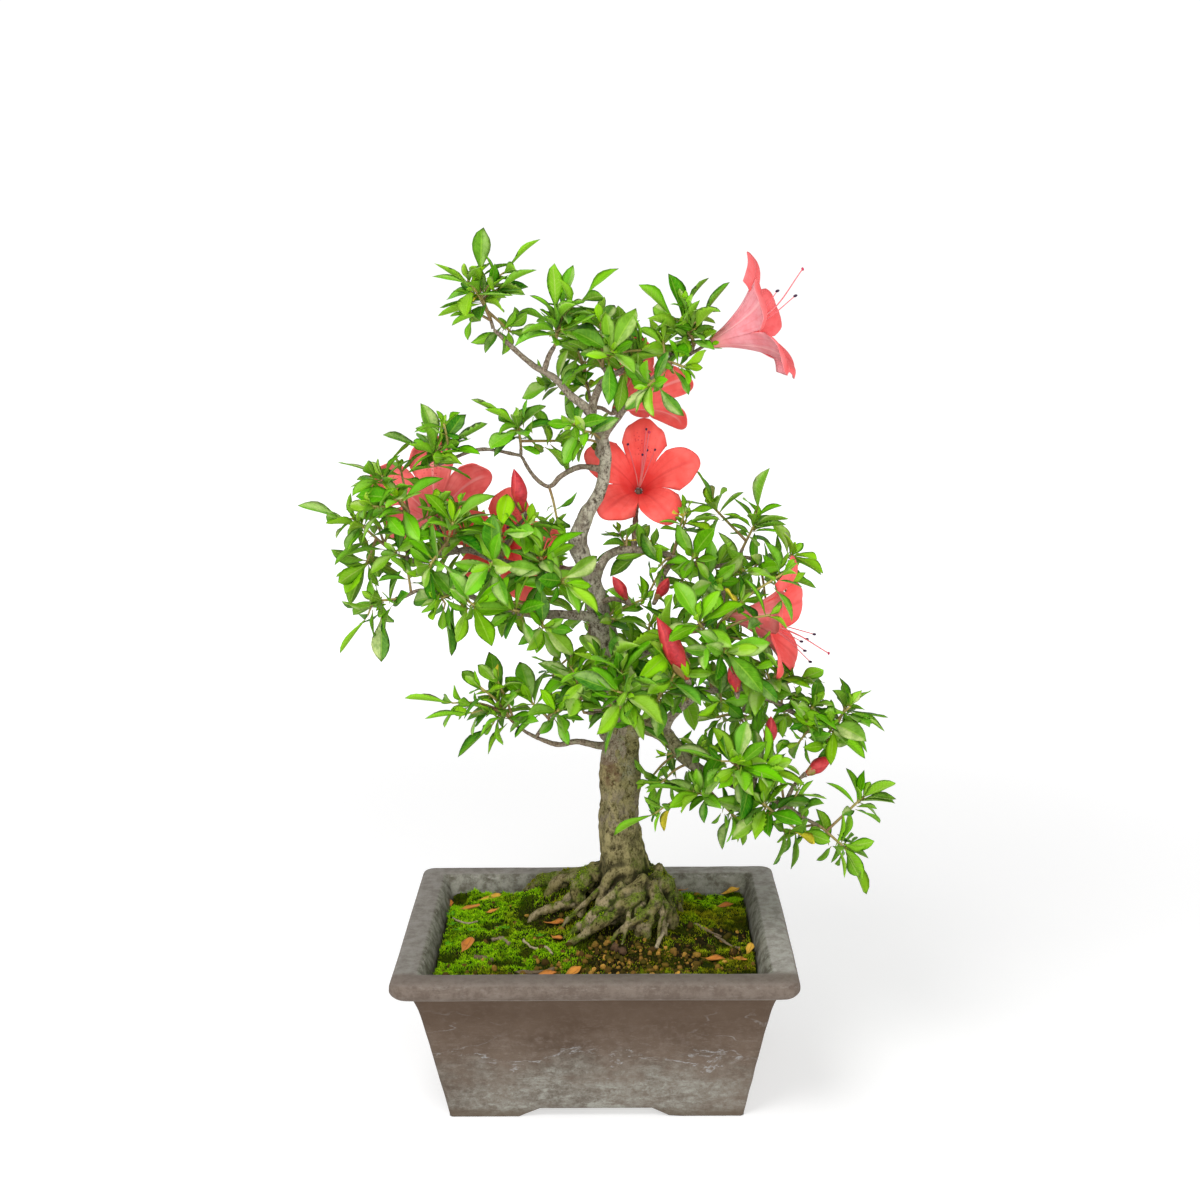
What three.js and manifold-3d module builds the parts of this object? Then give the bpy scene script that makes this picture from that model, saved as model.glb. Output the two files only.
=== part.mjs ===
// A satsuki azalea grown as a bonsai, in its rectangular clay pot.
// Millimetres, +Z up, X across the wide face of the pot, Y towards its back.
// Everything is laid out from the middle of the pot on the surface that it stands on.
// The last lines move the origin under the middle of the whole tree.
import * as THREE from 'three';
import { mergeVertices } from 'three/addons/utils/BufferGeometryUtils.js';
import Module from 'manifold-3d';

const wasm = await Module();
wasm.setup();
const { Manifold, Mesh } = wasm;

// ---------- driving dimensions ----------

const GAP = 0.3; // between neighbouring pieces
const SLIVER = 0.03; // detail smaller than this is dropped where solids are joined

const POT = {
  width: 200,
  depth: 160,
  height: 83,
  corner: 6, // radius of the corners in plan
  footHeight: 5,
  footLength: 37.5,
  footWidth: 11,
  floorTop: 12,
  holeRadius: 11,
  holeX: 40,
};

// How far the outside of the pot stands in from the rim's outline, at each height.
const POT_OUTSIDE = [
  [5, 24.5],
  [60, 13.5],
  [68, 11],
  [72, 9],
  [73.2, 3],
  [77, 0],
  [80.5, 0],
  [82.3, 0.9],
  [83, 2.6],
];
const POT_INSIDE = [
  [83, 12.6],
  [81.8, 14.2],
  [74, 17.7],
  [12, 30.5],
];

const SCREEN = { size: 34, thick: 1, bar: 5, openings: 2 };

const SOIL = {
  edge: 74, // height at the pot's wall
  bottom: 12.3,
  grain: 0.7,
  loops: [0.14, 0.28, 0.42, 0.56, 0.7, 0.85, 1],
};

// Heaps on the soil: the middle of each, its height, and how far it spreads across and back.
const MOUNDS = [
  { x: 19, y: 14, height: 7, across: 34, back: 34 },
  { x: -20, y: 36, height: 14, across: 26, back: 16 },
  { x: -50, y: -8, height: 2.2, across: 26, back: 30 },
];

const PETAL_THICK = 0.9;
const LEAF_THICK = 0.95;

// ---------- seeded random numbers ----------

/** A Park-Miller generator: the same seed always gives the same row of numbers from 0 to 1. */
function seeded(seed) {
  let state = (seed * 7919 + 12345) % 2147483647;
  const next = () => {
    state = (state * 48271) % 2147483647;
    return state / 2147483647;
  };
  next();
  return next;
}

// ---------- solids ----------

const vector = (point) => new THREE.Vector3(point[0], point[1], point[2]);
const neverFlipped = () => false;

/**
 * A closed solid through a row of rings, which run anticlockwise about the direction of the row.
 * A ring of one point closes to a tip. flipped(band, side) picks a quad's other diagonal.
 */
function loft(rings, flipped = neverFlipped) {
  const points = rings.flat();
  const starts = rings.map((_, index) => rings.slice(0, index).flat().length);
  const triangles = [];
  for (let band = 0; band + 1 < rings.length; band++) {
    const lower = rings[band].length;
    const upper = rings[band + 1].length;
    const sides = Math.max(lower, upper);
    for (let side = 0; side < sides; side++) {
      const a = starts[band] + (side % lower);
      const b = starts[band] + ((side + 1) % lower);
      const c = starts[band + 1] + ((side + 1) % upper);
      const d = starts[band + 1] + (side % upper);
      if (lower === 1) triangles.push(a, c, d);
      else if (upper === 1) triangles.push(a, b, c);
      else if (flipped(band, side)) triangles.push(a, b, d, b, c, d);
      else triangles.push(a, b, c, a, c, d);
    }
  }
  const first = starts[0];
  const last = starts[rings.length - 1];
  for (let side = 1; side + 1 < rings[0].length; side++) {
    triangles.push(first, first + side + 1, first + side);
  }
  for (let side = 1; side + 1 < rings[rings.length - 1].length; side++) {
    triangles.push(last, last + side, last + side + 1);
  }
  const vertProperties = new Float32Array(points.flatMap((point) => point.toArray()));
  return new Manifold(new Mesh({ numProp: 3, vertProperties, triVerts: new Uint32Array(triangles) }));
}

/** A three.js geometry as a solid. */
function solidOf(geometry) {
  const bare = geometry.clone();
  bare.deleteAttribute('normal');
  bare.deleteAttribute('uv');
  const merged = mergeVertices(bare, 1e-4);
  const vertProperties = new Float32Array(merged.attributes.position.array);
  return new Manifold(new Mesh({ numProp: 3, vertProperties, triVerts: new Uint32Array(merged.index.array) }));
}

/** All the solids as one body, without the slivers and crumbs that the union leaves. */
function fused(solids) {
  const bodies = Manifold.union(solids).simplify(SLIVER).decompose();
  return bodies.reduce((largest, body) => (body.volume() > largest.volume() ? body : largest));
}

/** A solid as a named mesh in its own plain material. */
function piece(name, solid, color, roughness) {
  const { vertProperties, triVerts } = solid.getMesh();
  const geometry = new THREE.BufferGeometry();
  geometry.setAttribute('position', new THREE.BufferAttribute(vertProperties, 3));
  geometry.setIndex(new THREE.BufferAttribute(triVerts, 1));
  geometry.computeVertexNormals();
  const mesh = new THREE.Mesh(geometry, new THREE.MeshStandardMaterial({ color, roughness, metalness: 0 }));
  mesh.name = name;
  return mesh;
}

/** The box that a solid fills, grown on every side. */
function boxOf(solid, grow = 0) {
  const { min, max } = solid.boundingBox();
  return new THREE.Box3(vector(min), vector(max)).expandByScalar(grow);
}

/** An anticlockwise rectangle with round corners, as points at one height. */
function roundedLoop(halfX, halfY, corner, height, sideSteps = 1, cornerSteps = 2) {
  const points = [];
  const corners = [
    [1, 1],
    [-1, 1],
    [-1, -1],
    [1, -1],
  ];
  corners.forEach(([signX, signY], quarter) => {
    const centreX = signX * (halfX - corner);
    const centreY = signY * (halfY - corner);
    for (let step = 0; step <= cornerSteps; step++) {
      const angle = ((quarter + step / cornerSteps) * Math.PI) / 2;
      points.push(new THREE.Vector3(centreX + corner * Math.cos(angle), centreY + corner * Math.sin(angle), height));
    }
    const [nextX, nextY] = corners[(quarter + 1) % 4];
    const from = points[points.length - 1];
    const angle = ((quarter + 1) * Math.PI) / 2;
    const to = new THREE.Vector3(
      nextX * (halfX - corner) + corner * Math.cos(angle),
      nextY * (halfY - corner) + corner * Math.sin(angle),
      height,
    );
    for (let step = 1; step < sideSteps; step++) points.push(from.clone().lerp(to, step / sideSteps));
  });
  return points;
}

/** Directions along a route and two directions across it, carried from point to point without twist. */
function framesAlong(points) {
  const frames = [];
  let across = null;
  points.forEach((point, index) => {
    const before = points[Math.max(index - 1, 0)];
    const after = points[Math.min(index + 1, points.length - 1)];
    const along = after.clone().sub(before).normalize();
    if (across === null) {
      across = Math.abs(along.x) < 0.8 ? new THREE.Vector3(1, 0, 0) : new THREE.Vector3(0, 1, 0);
    }
    across = across.clone().addScaledVector(along, -across.dot(along)).normalize();
    frames.push({ along, across, third: along.clone().cross(across) });
  });
  return frames;
}

const round = () => 1;

/** A tapering stem along a route of [x, y, z, radius]. grow makes it wider and longer all round. */
function stem(route, sides, grow = 0, relief = round) {
  const points = route.map(vector);
  const frames = framesAlong(points);
  points[0].addScaledVector(frames[0].along, -grow);
  points[points.length - 1].addScaledVector(frames[frames.length - 1].along, grow);
  const rings = points.map((point, index) => {
    const { across, third } = frames[index];
    return Array.from({ length: sides }, (_, side) => {
      const angle = (2 * Math.PI * side) / sides;
      const radius = route[index][3] * relief(angle, point.z) + grow;
      return point
        .clone()
        .addScaledVector(across, radius * Math.cos(angle))
        .addScaledVector(third, radius * Math.sin(angle));
    });
  });
  return loft(rings);
}

// ---------- the pot ----------

/** One level of the pot, inset from the rim's outline. */
function potLoop(inset, height) {
  const corner = Math.max(POT.corner - inset * 0.15, 2);
  return roundedLoop(POT.width / 2 - inset, POT.depth / 2 - inset, corner, height);
}

/** A slot under the pot, as long as asked, between two feet with sloping ends. */
function footSlot(gapLength, slotLength) {
  const half = gapLength / 2;
  const top = POT.footHeight;
  const outline = new THREE.Shape([
    new THREE.Vector2(-half, -1),
    new THREE.Vector2(half, -1),
    new THREE.Vector2(half - top, top),
    new THREE.Vector2(top - half, top),
  ]);
  const geometry = new THREE.ExtrudeGeometry(outline, { depth: slotLength, bevelEnabled: false });
  geometry.translate(0, 0, -slotLength / 2);
  geometry.rotateX(Math.PI / 2);
  return geometry;
}

/** The base that the feet are cut from, under the pot's floor. */
function potFeet() {
  const bottom = POT_OUTSIDE[0][1];
  const block = loft([potLoop(bottom + 1, 0), potLoop(bottom, POT.footHeight + 1)]);
  const bottomX = POT.width - 2 * bottom;
  const bottomY = POT.depth - 2 * bottom;
  const acrossFront = footSlot(bottomX - 2 * POT.footLength, POT.depth);
  const acrossSides = footSlot(bottomY - 1.6 * POT.footLength, POT.width).rotateZ(Math.PI / 2);
  const inset = bottom + POT.footWidth;
  const recess = loft([potLoop(inset, -1), potLoop(inset, POT.footHeight)]);
  return block.subtract(solidOf(acrossFront)).subtract(solidOf(acrossSides)).subtract(recess);
}

function makePot() {
  const outside = POT_OUTSIDE.map(([height, inset]) => potLoop(inset, height));
  const inside = POT_INSIDE.map(([height, inset]) => potLoop(inset, height));
  let pot = loft([...outside, ...inside]).add(potFeet());
  for (const side of [-1, 1]) {
    const hole = new THREE.CylinderGeometry(POT.holeRadius, POT.holeRadius, 20, 14);
    hole.rotateX(Math.PI / 2).translate(side * POT.holeX, 0, POT.floorTop - 5);
    pot = pot.subtract(solidOf(hole));
  }
  return piece('pot', pot, 0x6f655e, 0.8);
}

/** A plastic screen that lies over a drain hole inside the pot: bars crossing at right angles. */
function makeScreen(name, centreX) {
  const pitch = (SCREEN.size - SCREEN.bar) / SCREEN.openings;
  const bars = [];
  for (let index = 0; index <= SCREEN.openings; index++) {
    const shift = index * pitch - (SCREEN.size - SCREEN.bar) / 2;
    for (const quarterTurns of [0, 1]) {
      const bar = new THREE.BoxGeometry(SCREEN.size, SCREEN.bar, SCREEN.thick);
      bar.translate(0, shift, 0).rotateZ((quarterTurns * Math.PI) / 2);
      bar.translate(centreX, 0, POT.floorTop + GAP + SCREEN.thick / 2);
      bars.push(solidOf(bar));
    }
  }
  return piece(name, fused(bars), 0x2c2f2d, 0.6);
}

// ---------- the soil ----------

/** Height of the soil's mossy top: level at the pot's wall and heaped round the trunk and roots. */
function soilHeight(x, y) {
  const ripple = 0.7 * Math.sin(x / 9 + 1.3) * Math.cos(y / 7);
  return MOUNDS.reduce((height, mound) => {
    const away = ((x - mound.x) / mound.across) ** 2 + ((y - mound.y) / mound.back) ** 2;
    return height + mound.height * Math.exp(-away);
  }, SOIL.edge + ripple);
}

/** The soil that fills the pot, before the tree's roots are cut out of it. */
function soilBlock() {
  const [[slopeTop, slopeInset], [slopeBottom, bottomInset]] = POT_INSIDE.slice(-2);
  const random = seeded(5);
  const insetAt = (height) => {
    const share = (slopeTop - height) / (slopeTop - slopeBottom);
    return slopeInset + share * (bottomInset - slopeInset);
  };
  const loopAt = (inset, height, share) => {
    const corner = Math.max(POT.corner - inset * 0.15, 2) * share;
    const halfX = (POT.width / 2 - inset) * share;
    const halfY = (POT.depth / 2 - inset) * share;
    return roundedLoop(halfX, halfY, corner, height, 5);
  };
  const wall = insetAt(SOIL.edge - 2) + GAP;
  const bottom = loopAt(insetAt(SOIL.bottom) + GAP, SOIL.bottom, 1);
  const top = SOIL.loops.map((share) =>
    loopAt(wall, SOIL.edge, share).map((point) => {
      const grain = share < 1 ? SOIL.grain * (2 * random() - 1) : -1.2;
      return point.setZ(soilHeight(point.x, point.y) + grain);
    }),
  );
  return loft([bottom, ...top.reverse()]);
}

// ---------- trunk, limbs and roots: [x, y, z, radius] along each ----------

const TRUNK = [
  [20, 14, 58, 15],
  [20, 14, 72, 18],
  [19, 14, 84, 17.5],
  [18, 14, 92, 15.8],
  [16, 14, 101, 13.8],
  [14, 13, 116, 11.8],
  [12, 12, 131, 10.6],
  [12, 12, 145, 10.2],
  [13, 12, 156, 10.6],
  [13, 12, 168, 10.2],
  [14, 12, 181, 8.9],
  [13, 12, 200, 8],
  [8, 12, 224, 7.2],
  [4, 12, 243, 6],
  [0, 12, 258, 5.6],
  [-5, 12, 274, 5],
  [-8, 12, 284, 4.8],
  [-3, 12, 298, 3.8],
  [4, 11, 310, 3.2],
  [7, 10, 326, 3],
  [5, 10, 337, 3.4],
];

const LIMBS = {
  crownLeft: [
    [5, 10, 334, 2.6],
    [-1, 10, 350, 2.6],
    [-11, 10, 359, 2.2],
    [-18, 9, 367, 2],
    [-29, 8, 374, 1.6],
    [-39, 6, 383, 1.4],
    [-48, 5, 392, 1.1],
  ],
  crownMiddle: [
    [0, 12, 346, 2.2],
    [1, 14, 354, 2.2],
    [4, 16, 362, 2],
    [9, 18, 367, 1.8],
    [20, 18, 372, 1.6],
    [31, 16, 379, 1.4],
    [42, 12, 378, 1.2],
    [49, 10, 378, 1],
  ],
  crownFront: [
    [5, 9, 336, 2],
    [12, 5, 346, 1.8],
    [19, 1, 355, 1.5],
    [26, 0, 363, 1.3],
    [34, 0, 371, 1],
  ],
  crownBack: [
    [5, 11, 330, 2],
    [3, 24, 339, 1.7],
    [0, 36, 350, 1.4],
    [-2, 44, 358, 1],
  ],
  leftBack: [
    [-4, 13, 268, 3],
    [-14, 28, 266, 2.4],
    [-30, 44, 267, 2],
    [-47, 54, 270, 1.5],
    [-62, 52, 273, 1.1],
  ],
  upperLeft: [
    [6, 10, 321, 2],
    [-6, 14, 322, 1.6],
    [-16, 16, 317, 1.5],
    [-22, 13, 312, 1.4],
    [-30, 13, 318, 1.2],
    [-36, 14, 328, 1],
  ],
  left: [
    [-5, 11, 268, 3],
    [-14, 6, 266, 2.6],
    [-29, 0, 271, 2.4],
    [-47, -4, 277, 2.2],
    [-61, -6, 283, 1.9],
    [-74, -4, 281, 1.6],
    [-88, -2, 277, 1.3],
    [-99, 0, 280, 1.1],
  ],
  leftLow: [
    [5, 11, 240, 3.2],
    [-3, 6, 246, 2.8],
    [-17, 2, 248, 2.6],
    [-29, -2, 249, 2.4],
    [-44, -8, 253, 2.1],
    [-57, -12, 259, 1.8],
    [-69, -12, 264, 1.5],
    [-80, -14, 264, 1.1],
  ],
  rightMiddle: [
    [0, 12, 259, 3],
    [4, 14, 271, 2.6],
    [10, 18, 277, 2.4],
    [21, 20, 278, 2],
    [35, 18, 277, 1.8],
    [50, 14, 271, 1.6],
    [66, 16, 270, 1.3],
    [75, 18, 274, 1],
  ],
  rightLow: [
    [14, 11, 187, 6],
    [24, 0, 190, 5],
    [33, -8, 189, 4.4],
    [40, -14, 184, 4],
    [46, -18, 178, 3.6],
    [52, -20, 173, 3],
    [65, -22, 167, 2.2],
    [79, -24, 161, 1.8],
    [96, -24, 154, 1.4],
    [108, -23, 146, 1],
  ],
  rightUpper: [
    [35, -10, 187, 3],
    [38, -12, 196, 2.6],
    [46, -12, 204, 2.2],
    [57, -14, 211, 2],
    [74, -14, 213, 1.8],
    [92, -12, 205, 1.5],
    [108, -10, 194, 1.2],
    [115, -10, 189, 0.9],
  ],
  rightFront: [
    [13, 8, 200, 3.2],
    [26, -8, 210, 2.8],
    [35, -22, 222, 2.2],
    [46, -30, 234, 1.8],
    [54, -34, 240, 1.2],
  ],
  rightBack: [
    [10, 13, 214, 3],
    [24, 30, 220, 2.4],
    [41, 44, 224, 2],
    [57, 54, 230, 1.6],
    [67, 58, 234, 1],
  ],
  front: [
    [13, 8, 190, 2.8],
    [12, -10, 193, 2.3],
    [12, -28, 200, 1.9],
    [13, -39, 207, 1.1],
  ],
  leftBottom: [
    [12, 12, 175, 2.6],
    [2, 0, 179, 2],
    [-9, -6, 183, 1.7],
    [-18, -8, 182, 1.5],
    [-26, -10, 185, 1.3],
    [-33, -12, 189, 1.1],
    [-38, -14, 193, 0.9],
  ],
  back: [
    [8, 13, 214, 3],
    [3, 34, 219, 2.4],
    [-3, 50, 223, 2],
    [-3, 61, 226, 1.2],
  ],
  backLow: [
    [12, 13, 196, 3],
    [9, 34, 190, 2.4],
    [2, 50, 184, 1.8],
    [-3, 59, 184, 1.1],
  ],
};

const ROOTS = [
  // back left, a high ridge
  [
    [12, 20, 101, 6],
    [0, 29, 96, 5.4],
    [-13, 36, 93, 4.4],
    [-25, 41, 90, 3.8],
    [-34, 44, 86, 3.2],
    [-41, 46, 80, 2.6],
    [-45, 47, 72, 2],
  ],
  // left, steep and knobbly
  [
    [10, 18, 106, 5.5],
    [-3, 20, 101, 4.8],
    [-9, 20, 94, 4.2],
    [-9, 18, 86, 3.4],
    [-8, 16, 78, 2.8],
  ],
  // left, off the steep one
  [
    [-8, 19, 87, 3.2],
    [-14, 18, 84.5, 2.9],
    [-21, 17, 84, 2.7],
    [-28, 16, 82, 2.3],
    [-34, 15, 78, 1.9],
    [-37, 14, 72, 1.6],
  ],
  // a knee between them
  [
    [-3, 22, 100, 4],
    [-12, 26, 97, 3.5],
    [-20, 29, 93, 3.2],
    [-25, 30, 88, 2.6],
    [-28, 31, 81, 2],
  ],
  // front left, the longest
  [
    [25, 3, 103, 5],
    [21, -4, 99, 4.4],
    [16, -8, 95.3, 4],
    [10, -9, 91, 3.5],
    [3, -10, 86.5, 3],
    [-4, -11, 81, 2.5],
    [-11, -13, 76.5, 2],
    [-18, -15, 71, 1.6],
  ],
  // thin, over the longest
  [
    [26, 0, 107, 3.2],
    [20, -4, 103, 2.8],
    [12.5, -6, 99, 2.4],
    [7, -7, 94.5, 2.1],
    [-1, -7, 90, 1.9],
    [-5, -7, 84, 1.7],
    [-8, -8, 76, 1.4],
  ],
  // front, round the foot
  [
    [18, 3, 111, 3],
    [10, 1, 109, 3],
    [5.5, 2, 104, 2.8],
    [4, 3, 97, 2.6],
    [2, 1, 89, 2.4],
    [0, 0, 81, 2.2],
    [-2, -1, 73, 1.8],
  ],
  // front left, lowest
  [
    [12, 4, 97, 4.5],
    [5, -1, 90, 3.4],
    [-3, -2, 84, 2.8],
    [-11, -3, 79, 2.2],
    [-18, -4, 72, 1.8],
  ],
  // front, straight down
  [
    [24, 0, 98, 3.6],
    [23.5, -7, 91, 3.2],
    [23, -9, 83, 2.8],
    [23, -11, 72, 2.2],
  ],
  // front right
  [
    [28, 2, 104, 4],
    [31, -5, 97.5, 3.4],
    [29.5, -8, 91, 3],
    [27, -10, 84, 2.6],
    [27, -12, 72, 2],
  ],
  // right
  [
    [30, 11, 107, 6],
    [36, 10, 98.5, 5.2],
    [38.5, 9, 89, 4.6],
    [40, 8, 80, 4],
    [41, 7, 70, 3.4],
  ],
  // back right
  [
    [26, 18, 103, 5.5],
    [35, 24, 95, 4.6],
    [41, 30, 86, 3.6],
    [46, 35, 78, 2.6],
    [49, 38, 70, 2],
  ],
  // back
  [
    [18, 20, 100, 5.6],
    [16, 31, 92, 4.6],
    [13, 39, 84, 3.6],
    [10, 45, 77, 2.6],
    [8, 49, 69, 1.8],
  ],
];

/** Ribs that run up the trunk from its roots and fade above them. */
function trunkRelief(angle, height) {
  const flare = Math.min(Math.max((112 - height) / 34, 0), 1);
  const ribs = 0.05 * Math.cos(3 * angle + height / 22) + 0.035 * Math.cos(5 * angle - height / 15);
  return 1 + ribs + 0.1 * flare * Math.cos(5 * angle + 0.6);
}

/** A spot part of the way between two points of a route. */
function along(route, index, share) {
  return route[index].map((value, axis) => value + share * (route[index + 1][axis] - value));
}

/** The place on the limbs that lies nearest to a point, as [x, y, z, radius]. */
function nearestWood(point) {
  let best = null;
  let bestAway = Infinity;
  for (const route of [TRUNK, ...Object.values(LIMBS)]) {
    for (let index = 0; index + 1 < route.length; index++) {
      for (const share of [0, 0.5, 1]) {
        const spot = along(route, index, share);
        const away = vector(spot).distanceTo(vector(point));
        if (away < bestAway) {
          best = spot;
          bestAway = away;
        }
      }
    }
  }
  return best;
}

const TWIG_TIP = 0.85; // radius where a twig hands over to a green shoot
const SHORT_TWIG = 10; // a twig under this length is straight

/** The route of a twig from the nearest wood to a point, arched a little upwards where it is long. */
function twigRoute(to, tipRadius = TWIG_TIP) {
  const from = nearestWood(to);
  const startRadius = Math.min(from[3] * 0.8, 1.5);
  const reach = vector(from).distanceTo(vector(to));
  const start = [from[0], from[1], from[2], startRadius];
  const end = [to[0], to[1], to[2], tipRadius];
  if (reach < SHORT_TWIG) return [start, end];
  const middle = along([start, end], 0, 0.5);
  middle[2] += 0.12 * reach;
  return [start, middle, end];
}

// ---------- blooms and buds ----------

// at is where the flower leaves its stalk, face the way it opens, size its scale.
const BLOOMS = [
  { name: 'bloom_crown', at: [60, 8, 384], face: [0.92, -0.15, 0.36], roll: 10, size: 1.08 },
  { name: 'bloom_crown_back', at: [12, 40, 348], face: [0.62, 0.62, 0.45], roll: 30, size: 0.94 },
  { name: 'bloom_centre', at: [24, 51, 304], face: [0.03, -0.88, 0.44], roll: 12, size: 0.96 },
  { name: 'bloom_left', at: [-80, 10, 296], face: [-0.16, 0.86, 0.3], roll: 20, size: 1.02 },
  { name: 'bloom_left_inner', at: [-45, 48, 279], face: [-0.05, -0.95, 0.05], roll: 8, size: 0.94 },
  { name: 'bloom_right', at: [70, 0, 247], face: [0.93, -0.3, -0.02], roll: 12, size: 1 },
];

// One lobe's columns: degrees from its middle, and how far out the sheet reaches there.
const LOBE_COLUMNS = [
  [-36, 0.06],
  [-25, 0.66],
  [-9, 0.97],
  [9, 0.97],
  [25, 0.66],
];
const COROLLA = {
  lobes: 5,
  free: 0.42, // where the lobes part, as a share of the way from base to tip
  stations: [0, 0.42, 0.76],
  throat: 0.22, // where the tube's hollow ends
};
// [share of the way, distance from the middle, distance along the face]
const COROLLA_PROFILE = [
  [0, 2.2, 0],
  [0.2, 5, 8],
  [0.42, 11, 18.5],
  [0.6, 18, 26.5],
  [0.8, 26, 31.5],
  [1, 33, 31],
];

/** A value read off a table of rows, straight between them. */
function interpolate(rows, at, column) {
  let index = 0;
  while (index + 2 < rows.length && rows[index + 1][0] < at) index++;
  const share = (at - rows[index][0]) / (rows[index + 1][0] - rows[index][0]);
  return rows[index][column] + share * (rows[index + 1][column] - rows[index][column]);
}

/** One ring of the corolla's sheet; station counts from 0 at the base to 1 at the lobes' ends. */
function corollaRing(station, inward) {
  const ring = [];
  for (let lobe = 0; lobe < COROLLA.lobes; lobe++) {
    for (const [degrees, reach] of LOBE_COLUMNS) {
      const past = Math.max(station - COROLLA.free, 0);
      const at = Math.min(station, COROLLA.free) + past * reach;
      const angle = (((lobe * 360) / COROLLA.lobes + degrees) * Math.PI) / 180;
      const radius = interpolate(COROLLA_PROFILE, at, 1) - inward;
      const height = interpolate(COROLLA_PROFILE, at, 2) + inward * Math.min(at * 1.6, 1);
      ring.push(new THREE.Vector3(radius * Math.cos(angle), radius * Math.sin(angle), height));
    }
  }
  return ring;
}

/** A stamen or the pistil: a three-sided thread that droops and then turns up to its tip. */
function filament(angle, length, radius, knob) {
  const side = 2.6;
  const base = [side * Math.cos(angle), side * Math.sin(angle), 8, radius];
  const spread = length * 0.16;
  const middle = [spread * Math.cos(angle), spread * Math.sin(angle) - 1.5, length * 0.62, radius];
  const tip = [2 * spread * Math.cos(angle), 2 * spread * Math.sin(angle) + 3, length, knob];
  return stem([base, middle, tip], 3);
}

/** Turns a solid built about +Z so that +Z faces a direction, and puts its base at a point. */
function placed(solid, at, face, roll, size) {
  const direction = vector(face).normalize();
  const sideways = new THREE.Vector3(0, 0, 1).cross(direction).normalize();
  const upwards = direction.clone().cross(sideways);
  const turn = new THREE.Matrix4().makeBasis(sideways, upwards, direction);
  const matrix = new THREE.Matrix4()
    .makeTranslation(vector(at))
    .multiply(turn)
    .multiply(new THREE.Matrix4().makeRotationZ((roll * Math.PI) / 180))
    .multiply(new THREE.Matrix4().makeScale(size, size, size));
  return solid.transform(matrix.elements);
}

/** One flower: a funnel with five lobes, five stamens and a pistil that is longer than they are. */
function bloomSolid({ at, face, roll, size }) {
  const outer = COROLLA.stations.map((station) => corollaRing(station, 0));
  const edge = corollaRing(1, 0);
  const inner = COROLLA.stations
    .filter((station) => station > COROLLA.throat)
    .reverse()
    .map((station) => corollaRing(station, PETAL_THICK));
  const corolla = loft([...outer, edge, ...inner], (band) => band >= outer.length);
  const threads = [-70, -35, 0, 35, 70].map((degrees) =>
    filament(((degrees - 90) * Math.PI) / 180, 38 - 0.06 * Math.abs(degrees), 0.4, 0.8),
  );
  threads.push(filament(-Math.PI / 2 + 0.3, 47, 0.45, 0.9));
  return placed(fused([corolla, ...threads]), at, face, roll, size);
}

// from is the bud's foot, to its point, wide its greatest radius.
const BUDS = [
  { name: 'bud_front', from: [46, -45, 226], to: [31, -55, 259], wide: 5 },
  { name: 'bud_middle', from: [17, -9, 258], to: [10, -15, 271], wide: 3 },
  { name: 'bud_middle_right', from: [32, -4, 257], to: [38, -10, 269], wide: 3 },
  { name: 'bud_right_low', from: [87, -27, 186], to: [88, -31, 203], wide: 3.4 },
  { name: 'bud_right_tip', from: [107, -22, 170], to: [120, -20, 178], wide: 3.8 },
  { name: 'bud_right', from: [70, -43, 219], to: [67, -47, 235], wide: 3.6 },
  { name: 'bud_left', from: [-34, -12, 303], to: [-38, -14, 325], wide: 4 },
];

// [share of the length, share of the greatest radius]
const BUD_PROFILE = [
  [0, 0.35],
  [0.18, 0.62],
  [0.45, 1],
  [0.75, 0.72],
];

/** A closed bud: a slim spindle with its petals rolled round it in a slow twist. */
function budSolid({ from, to, wide }) {
  const length = vector(from).distanceTo(vector(to));
  const rings = BUD_PROFILE.map(([share, width]) =>
    Array.from({ length: 6 }, (_, side) => {
      const angle = (side * Math.PI) / 3 + 0.7 * share;
      const radius = wide * width * (side % 2 === 0 ? 1 : 0.84);
      return new THREE.Vector3(radius * Math.cos(angle), radius * Math.sin(angle), share * length);
    }),
  );
  const spindle = loft([...rings, [new THREE.Vector3(0, 0, length)]]);
  const face = vector(to).sub(vector(from)).toArray();
  return placed(spindle, from, face, 0, 1);
}

/** The stalk that carries a flower or bud, widening at its end to the small cup that it sits in. */
function stalkSolid(at, face, cupRadius) {
  const direction = vector(face).normalize();
  const seat = vector(at).addScaledVector(direction, -GAP);
  const neck = seat.clone().addScaledVector(direction, -3);
  return stem([...twigRoute(neck.toArray()), [...seat.toArray(), cupRadius]], 4);
}

// ---------- leafy sprays ----------

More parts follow.
